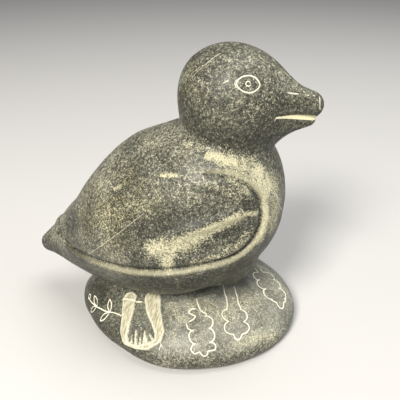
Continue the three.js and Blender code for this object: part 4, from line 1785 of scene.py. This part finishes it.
@dataclass
class StoneEffects:
    """The effects that the stone's finishes share, each a node group that is built once."""

    fine: float = 1900.0
    coarse: float = 800.0
    fine_share: float = 0.6
    cloud: float = 55.0
    tone_span: Span = (0.39, 0.61)
    grain_span: Span = (0.54, 0.66)
    grain_amount: float = 0.75
    patch: float = 75.0
    patch_span: Span = (0.45, 0.65)
    fleck: float = 1000.0
    fleck_span: Span = (0.71, 0.77)
    worn_patch: float = 420.0
    worn_patch_share: float = 0.35
    worn_grains: float = 0.12
    worn_span: Span = (0.2, 1.0)
    grit: float = 1600.0

    def __post_init__(self) -> None:
        """Build the groups."""
        self.speckle = self.build_speckle()
        self.wear = self.build_wear()
        self.scribed = self.build_scribed()

    def build_speckle(self) -> bpy.types.NodeTree:
        """Dark stone peppered with pale grains, in clouds of lighter and darker tone.

        Returns:
            The node group.
        """
        value, colour = GroupSocket.VALUE, GroupSocket.COLOUR
        board, given, result = new_group(
            "Soapstone speckle",
            {"Place": GroupSocket.VECTOR, "Dark": colour, "Light": colour, "Grain": colour,
             "Cloudiness": value},
            {"Color": colour, "Grains": value, "Height": value, "Flecks": value})
        place = given.outputs["Place"]
        fine = board.noise(place, self.fine, 2.0, 0.6)
        coarse = board.noise(place, self.coarse, 2.0, 0.6)
        cloud = board.math("SUBTRACT", board.noise(place, self.cloud, 3.0, 0.55), 0.5)
        drift = board.math("MULTIPLY", cloud, given.outputs["Cloudiness"])
        speck = board.math("ADD", board.math("MULTIPLY", fine, self.fine_share),
                           board.math("MULTIPLY", coarse, 1.0 - self.fine_share))
        tone = board.ramp(board.math("ADD", speck, drift), *self.tone_span)
        grains = board.ramp(board.math("ADD", speck, drift), *self.grain_span)
        stone = board.mix(tone, given.outputs["Dark"], given.outputs["Light"])
        peppered = board.mix(board.math("MULTIPLY", grains, self.grain_amount), stone,
                             given.outputs["Grain"])
        patchy = board.ramp(board.noise(place, self.patch, 2.0), *self.patch_span)
        rare = board.ramp(board.noise(place, self.fleck, 1.0, 0.5), *self.fleck_span)
        board.feed(result.inputs["Flecks"], board.math("MULTIPLY", rare, patchy))
        board.feed(result.inputs["Color"], peppered)
        board.feed(result.inputs["Grains"], grains)
        board.feed(result.inputs["Height"], speck)
        return board.tree

    def build_wear(self) -> bpy.types.NodeTree:
        """Where the polish is rubbed off: a mask that breaks up into grains at its edges.

        Returns:
            The node group.
        """
        value = GroupSocket.VALUE
        board, given, result = new_group(
            "Rubbed wear",
            {"Place": GroupSocket.VECTOR, "Mask": value, "Grains": value, "Breakup": value},
            {"Wear": value})
        patches = board.noise(given.outputs["Place"], self.worn_patch, 3.0, 0.6)
        specks = board.noise(given.outputs["Place"], self.fine, 2.0, 0.6)
        rough = board.math("ADD", board.math("MULTIPLY", patches, self.worn_patch_share),
                           board.math("MULTIPLY", specks, 1.0 - self.worn_patch_share))
        spread = board.math("MULTIPLY", board.math("SUBTRACT", rough, 0.5),
                            given.outputs["Breakup"])
        level = board.math("ADD", given.outputs["Mask"], spread)
        level = board.math("ADD", level, board.math("MULTIPLY", given.outputs["Grains"],
                                                    self.worn_grains))
        board.feed(result.inputs["Wear"], board.ramp(level, *self.worn_span))
        return board.tree

    def build_scribed(self) -> bpy.types.NodeTree:
        """A line or area scratched into the stone, from the signed distance to its outline.

        Returns:
            The node group.
        """
        value = GroupSocket.VALUE
        board, given, result = new_group(
            "Scribed mark",
            {"Place": GroupSocket.VECTOR, "Gap": value, "Soft": value, "Frayed": value},
            {"Mark": value})
        grit = board.noise(given.outputs["Place"], self.grit, 2.0, 0.6)
        fray = board.math("MULTIPLY", board.math("SUBTRACT", grit, 0.5), given.outputs["Frayed"])
        level = board.math("ADD", given.outputs["Gap"], fray)
        board.feed(result.inputs["Mark"],
                   board.ramp(level, board.math("MULTIPLY", given.outputs["Soft"], -1.0),
                              given.outputs["Soft"], 1.0, 0.0))
        return board.tree


@dataclass(frozen=True)
class PolishedSoapstone:
    """Dark olive soapstone with a satin rub, pale where it is worn, scratched or scraped, with
    painted shade in hollows and underneath and a painted highlight along the wing's rim.
    """

    dark: Colour = (0.030, 0.031, 0.023, 1.0)
    light: Colour = (0.185, 0.180, 0.131, 1.0)
    grain: Colour = (0.50, 0.48, 0.36, 1.0)
    cream: Colour = (0.70, 0.65, 0.43, 1.0)
    chalk: Colour = (0.82, 0.79, 0.63, 1.0)
    scraped: Colour = (0.66, 0.61, 0.43, 1.0)
    streak: Colour = (0.36, 0.33, 0.22, 1.0)
    tan: Colour = (1.10, 1.02, 0.78, 1.0)
    dry: Colour = (0.46, 0.455, 0.385, 1.0)
    # the next two tints are painted shade, for sunk lines and seams and for what faces down
    shade: Colour = (0.36, 0.35, 0.34, 1.0)
    painted_shade_tint: Colour = (0.42, 0.43, 0.42, 1.0)
    cloudiness: float = 0.34
    breakup: float = 2.3
    line_soft: float = 0.07
    line_frayed: float = 0.22
    scraped_soft: float = 0.32
    scraped_frayed: float = 1.9
    tan_patch: float = 120.0
    tan_span: Span = (0.35, 0.62)
    dust_patch: float = 160.0
    dust: Band = (0.35, 0.65, 0.25, 0.6)
    dust_seen_through: float = 0.35
    rim_highlight_amount: float = 0.42
    fleck_amount: float = 0.6
    wear_amount: float = 0.8
    lip_grain: float = 0.3
    lip_span: Span = (0.3, 0.7)
    fibre: float = 1400.0
    fibre_stretch: Place = (1.0, 0.22, 0.22)
    fibre_span: Span = (0.40, 0.58)
    leg_inset: float = 0.45
    leg_edge: Band = (0.1, 0.7, 0.65, 0.0)
    scraped_amount: float = 0.92
    satin: float = 0.46
    satin_patch: float = 240.0
    satin_span: Span = (0.3, 0.7)
    satin_drift: Span = (-0.05, 0.1)
    dull: float = 0.72
    sunk_dull: float = 0.8
    gloss: float = 0.35
    grit: float = 2300.0
    grit_least: float = 0.35
    bump: float = 0.35
    bump_height: float = 0.00018

    def material(self, effects: StoneEffects) -> bpy.types.Material:
        """Build the material.

        Args:
            effects: the node groups that it uses.

        Returns:
            The material.
        """
        material, board, shader = new_material("soapstone_polished")
        place = board.node("ShaderNodeTexCoord").outputs["Object"]
        speckle = board.group(effects.speckle, Place=place, Dark=self.dark, Light=self.light,
                              Grain=self.grain, Cloudiness=self.cloudiness)
        wear = board.group(effects.wear, Place=place, Mask=board.trace("rubbed"),
                           Grains=speckle.outputs["Grains"],
                           Breakup=self.breakup).outputs["Wear"]
        line = board.group(effects.scribed, Place=place, Gap=board.trace("scribed_gap"),
                           Soft=self.line_soft, Frayed=self.line_frayed).outputs["Mark"]
        line = board.math("MULTIPLY", line, board.trace("scribed_tone"))
        scraped = board.group(effects.scribed, Place=place, Gap=board.trace("scraped_gap"),
                              Soft=self.scraped_soft, Frayed=self.scraped_frayed).outputs["Mark"]
        sunk = board.trace("sunk")
        colour = self.stone_colour(board, place, speckle, sunk)
        colour = board.mix(board.math("MULTIPLY", speckle.outputs["Flecks"], self.fleck_amount),
                           colour, self.chalk)
        colour = board.mix(board.math("MULTIPLY", wear, self.wear_amount), colour, self.cream)
        grained = board.math("MULTIPLY", speckle.outputs["Height"], self.lip_grain)
        lip = board.ramp(board.math("ADD", board.trace("lip"), grained), *self.lip_span)
        colour = board.mix(lip, colour, self.cream)
        colour = board.mix(board.math("MULTIPLY", scraped, self.scraped_amount), colour,
                           self.leg_colour(board, place))
        board.feed(shader.inputs["Base Color"], board.mix(line, colour, self.chalk))
        broken = board.math("MAXIMUM", board.math("MAXIMUM", wear, line), scraped)
        worn = board.math("MAXIMUM", broken, board.math("MULTIPLY", sunk, self.sunk_dull))
        low, high = self.satin_drift
        sheen = board.ramp(board.noise(place, self.satin_patch, 3.0), *self.satin_span,
                           self.satin + low, self.satin + high)
        duller = board.math("MULTIPLY", board.math("SUBTRACT", self.dull, sheen), worn)
        board.feed(shader.inputs["Roughness"], board.math("ADD", duller, sheen))
        shader.inputs["Specular IOR Level"].default_value = self.gloss
        grit = board.math("MULTIPLY", board.noise(place, self.grit, 2.0, 0.7),
                          board.math("ADD", worn, self.grit_least))
        height = board.math("ADD", speckle.outputs["Height"], grit)
        board.feed(shader.inputs["Normal"], board.bump(height, self.bump, self.bump_height))
        return material

    def stone_colour(self, board: NodeBoard, place: bpy.types.NodeSocket,
                     speckle: bpy.types.Node, sunk: bpy.types.NodeSocket) -> bpy.types.NodeSocket:
        """The stone before it is worn: tanned, darkened with painted shade in its sunk lines and
        underneath, dusty, and pale with a painted highlight at the rim.

        Args:
            board: the board to work on.
            place: places on the stone.
            speckle: the placed speckle group.
            sunk: how far each place is in shade.

        Returns:
            The socket of the colour.
        """
        plain = speckle.outputs["Color"]
        patchy = board.ramp(board.noise(place, self.tan_patch, 3.0), *self.tan_span)
        colour = board.mix(board.math("MULTIPLY", board.trace("tanned"), patchy), plain,
                           board.mix(1.0, plain, self.tan, "MULTIPLY"))
        # painted shade: sunk lines, seams, the mouth's cut, what faces down, the chin and the dark
        # places are darkened in the colour
        for share, tint in ((sunk, self.shade), (board.trace("painted_shade"), self.painted_shade_tint)):
            colour = board.mix(share, colour, board.mix(1.0, colour, tint, "MULTIPLY"))
        dusty = board.ramp(board.noise(place, self.dust_patch, 4.0, 0.6), *self.dust)
        colour = board.mix(board.math("MULTIPLY", board.trace("dry"), dusty), colour,
                           board.mix(self.dust_seen_through, self.dry, plain))
        # a painted highlight: the top of the wing's rim is made pale cream
        return board.mix(board.math("MULTIPLY", board.trace("edge"), self.rim_highlight_amount), colour,
                         self.cream)

    def leg_colour(self, board: NodeBoard, place: bpy.types.NodeSocket) -> bpy.types.NodeSocket:
        """The scraped legs: fibrous, and palest along their edges.

        Args:
            board: the board to work on.
            place: places on the stone.

        Returns:
            The socket of the colour.
        """
        stretched = board.stretched(place, self.fibre_stretch)
        fibres = board.ramp(board.noise(stretched, self.fibre, 3.0, 0.65), *self.fibre_span)
        legs = board.mix(fibres, self.streak, self.scraped)
        inset = board.math("ADD", board.trace("scraped_gap"), self.leg_inset)
        edge = board.ramp(board.math("ABSOLUTE", inset), *self.leg_edge)
        return board.mix(edge, legs, self.chalk)


@dataclass(frozen=True)
class GroundUnderside:
    """The flat underside, ground on a coarse stone: pale, dull and scored one way."""

    dark: Colour = (0.10, 0.098, 0.075, 1.0)
    light: Colour = (0.26, 0.25, 0.19, 1.0)
    grain: Colour = (0.48, 0.46, 0.36, 1.0)
    cream: Colour = (0.60, 0.57, 0.43, 1.0)
    cloudiness: float = 0.2
    score: float = 900.0
    score_stretch: Place = (0.05, 1.0, 1.0)
    score_turn: float = 0.6
    score_span: Span = (0.5, 0.66)
    score_wear: float = 0.6
    breakup: float = 1.0
    roughness: Span = (0.62, 0.85)
    bump: float = 0.5
    bump_height: float = 0.0002

    def material(self, effects: StoneEffects) -> bpy.types.Material:
        """Build the material.

        Args:
            effects: the node groups that it uses.

        Returns:
            The material.
        """
        material, board, shader = new_material("soapstone_ground_underside")
        place = board.node("ShaderNodeTexCoord").outputs["Object"]
        speckle = board.group(effects.speckle, Place=place, Dark=self.dark, Light=self.light,
                              Grain=self.grain, Cloudiness=self.cloudiness)
        stretched = board.stretched(place, self.score_stretch, self.score_turn)
        scores = board.ramp(board.noise(stretched, self.score, 3.0, 0.65), *self.score_span)
        wear = board.group(effects.wear, Place=place,
                           Mask=board.math("MULTIPLY", scores, self.score_wear),
                           Grains=speckle.outputs["Grains"],
                           Breakup=self.breakup).outputs["Wear"]
        board.feed(shader.inputs["Base Color"],
                   board.mix(wear, speckle.outputs["Color"], self.cream))
        board.feed(shader.inputs["Roughness"], board.ramp(wear, 0.0, 1.0, *self.roughness))
        height = board.math("SUBTRACT", speckle.outputs["Height"], scores)
        board.feed(shader.inputs["Normal"], board.bump(height, self.bump, self.bump_height))
        return material


# ------------------------------------------------------------------ the object and its setting
@dataclass
class SoapstoneBird:
    """The one piece: bird and mound cut from a single stone."""

    surface: CarvedSurface = field(default_factory=CarvedSurface)
    name: str = "carved_soapstone_bird"
    node: str = "bird_carving"

    def build(self) -> bpy.types.Object:
        """Make the stone's mesh, keep its traces and dress it.

        Returns:
            The piece, riding on its body.
        """
        mesh = self.surface.build()
        plain = mesh.points
        normals = self.surface.form.normals(plain)
        points = plain + self.surface.relief(plain, normals)[:, None] * normals
        foot = plain[:, 2] < FLAT
        points[foot, 2] = 0.0
        points[:, 2] = np.maximum(points[:, 2], 0.0)
        data = bpy.data.meshes.new(self.name)
        data.vertices.add(len(points))
        data.vertices.foreach_set("co", (points * MM).astype(np.float32).reshape(-1))
        count = len(mesh.triangles)
        data.loops.add(3 * count)
        data.loops.foreach_set("vertex_index", mesh.triangles.astype(np.int32).reshape(-1))
        data.polygons.add(count)
        data.polygons.foreach_set("loop_start", np.arange(0, 3 * count, 3, dtype=np.int32))
        under = foot[mesh.triangles].all(axis=1)
        data.polygons.foreach_set("material_index", under.astype(np.int32))
        data.update(calc_edges=True)
        data.validate()
        data.polygons.foreach_set("use_smooth", np.ones(count, dtype=bool))
        for name, values in self.surface.traces(plain, normals).items():
            kept = data.attributes.new(name, "FLOAT", "POINT")
            kept.data.foreach_set("value", values.astype(np.float32))
        piece = bpy.data.objects.new(self.name, data)
        bpy.context.scene.collection.objects.link(piece)
        effects = StoneEffects()
        data.materials.append(PolishedSoapstone().material(effects))
        data.materials.append(GroundUnderside().material(effects))
        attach(piece, "root")
        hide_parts(self.node)
        LOG.info("%s: %d triangles", self.name, count)
        return piece


@dataclass(frozen=True)
class SoftLight:
    """A rectangular studio lamp aimed at the middle of the object."""

    name: str
    place: Place
    size: float
    watts: float
    colour: Place = (1.0, 1.0, 1.0)

    def build(self, aim: Points) -> None:
        """Hang the lamp.

        Args:
            aim: what the lamp is turned to, in metres.
        """
        data = bpy.data.lights.new(self.name, "AREA")
        data.shape, data.size = "SQUARE", self.size
        data.energy, data.color = self.watts, self.colour
        lamp = bpy.data.objects.new(self.name, data)
        lamp.location = self.place
        direction = Vector(aim) - Vector(self.place)
        lamp.rotation_euler = direction.to_track_quat("-Z", "Y").to_euler()
        bpy.context.scene.collection.objects.link(lamp)


@dataclass
class Studio:
    """A pale floor, soft light and the camera."""

    floor_half: float = 3.0
    floor_roughness: float = 0.9
    floor_colour: Colour = (0.55, 0.54, 0.525, 1.0)
    sky: Colour = (0.86, 0.90, 1.0, 1.0)
    sky_strength: float = 0.2
    camera_place: Place = (0.0552, -0.1712, 0.161)
    camera_azimuth: float = 16.0
    camera_pitch: float = 29.8
    lens: float = 44.37
    sensor: float = 36.0
    clip: Span = (0.01, 20.0)
    lamps: tuple[SoftLight, ...] = (
        SoftLight("key", (-0.14, -0.69, 0.72), 0.28, 13.5, (1.0, 0.97, 0.90)),
        SoftLight("top", (0.15, 0.15, 0.95), 0.6, 6.0, (1.0, 0.98, 0.94)),
        SoftLight("side", (0.75, 0.1, 0.45), 0.6, 2.0, (0.90, 0.95, 1.0)),
    )

    def build(self, aim: Points) -> None:
        """Set the studio up around the object.

        Args:
            aim: what the lamps are turned to, in metres.
        """
        self.build_floor()
        for lamp in self.lamps:
            lamp.build(aim)
        world = bpy.data.worlds.new("studio_sky")
        bpy.context.scene.world = world
        world.use_nodes = True
        background = world.node_tree.nodes["Background"]
        background.inputs["Color"].default_value = self.sky
        background.inputs["Strength"].default_value = self.sky_strength
        self.build_camera()

    def build_floor(self) -> None:
        """Lay the floor under the object."""
        half = self.floor_half
        corners = [(-half, -half, 0.0), (half, -half, 0.0), (half, half, 0.0), (-half, half, 0.0)]
        data = bpy.data.meshes.new("studio_floor")
        data.from_pydata(corners, [], [(0, 1, 2, 3)])
        floor = bpy.data.objects.new("studio_floor", data)
        bpy.context.scene.collection.objects.link(floor)
        material, _, shader = new_material("studio_floor_paper")
        shader.inputs["Base Color"].default_value = self.floor_colour
        shader.inputs["Roughness"].default_value = self.floor_roughness
        data.materials.append(material)

    def build_camera(self) -> None:
        """Place the camera and make it the scene's."""
        data = bpy.data.cameras.new("camera")
        data.sensor_width, data.lens = self.sensor, self.lens
        data.clip_start, data.clip_end = self.clip
        camera = bpy.data.objects.new("camera", data)
        camera.location = self.camera_place
        camera.rotation_euler = (math.radians(90.0 - self.camera_pitch), 0.0,
                                 math.radians(self.camera_azimuth))
        bpy.context.scene.collection.objects.link(camera)
        bpy.context.scene.camera = camera


def main() -> None:
    """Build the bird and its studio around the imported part."""
    logging.basicConfig(level=logging.INFO, format="%(name)s: %(message)s")
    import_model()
    low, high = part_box("bird_carving")
    bird = SoapstoneBird().build()
    LOG.info("built %s", bird.name)
    Studio().build(0.5 * (low + high))
    bpy.context.scene.view_settings.view_transform = "Standard"
    LOG.info("built the studio")


if __name__ == "__main__":
    main()
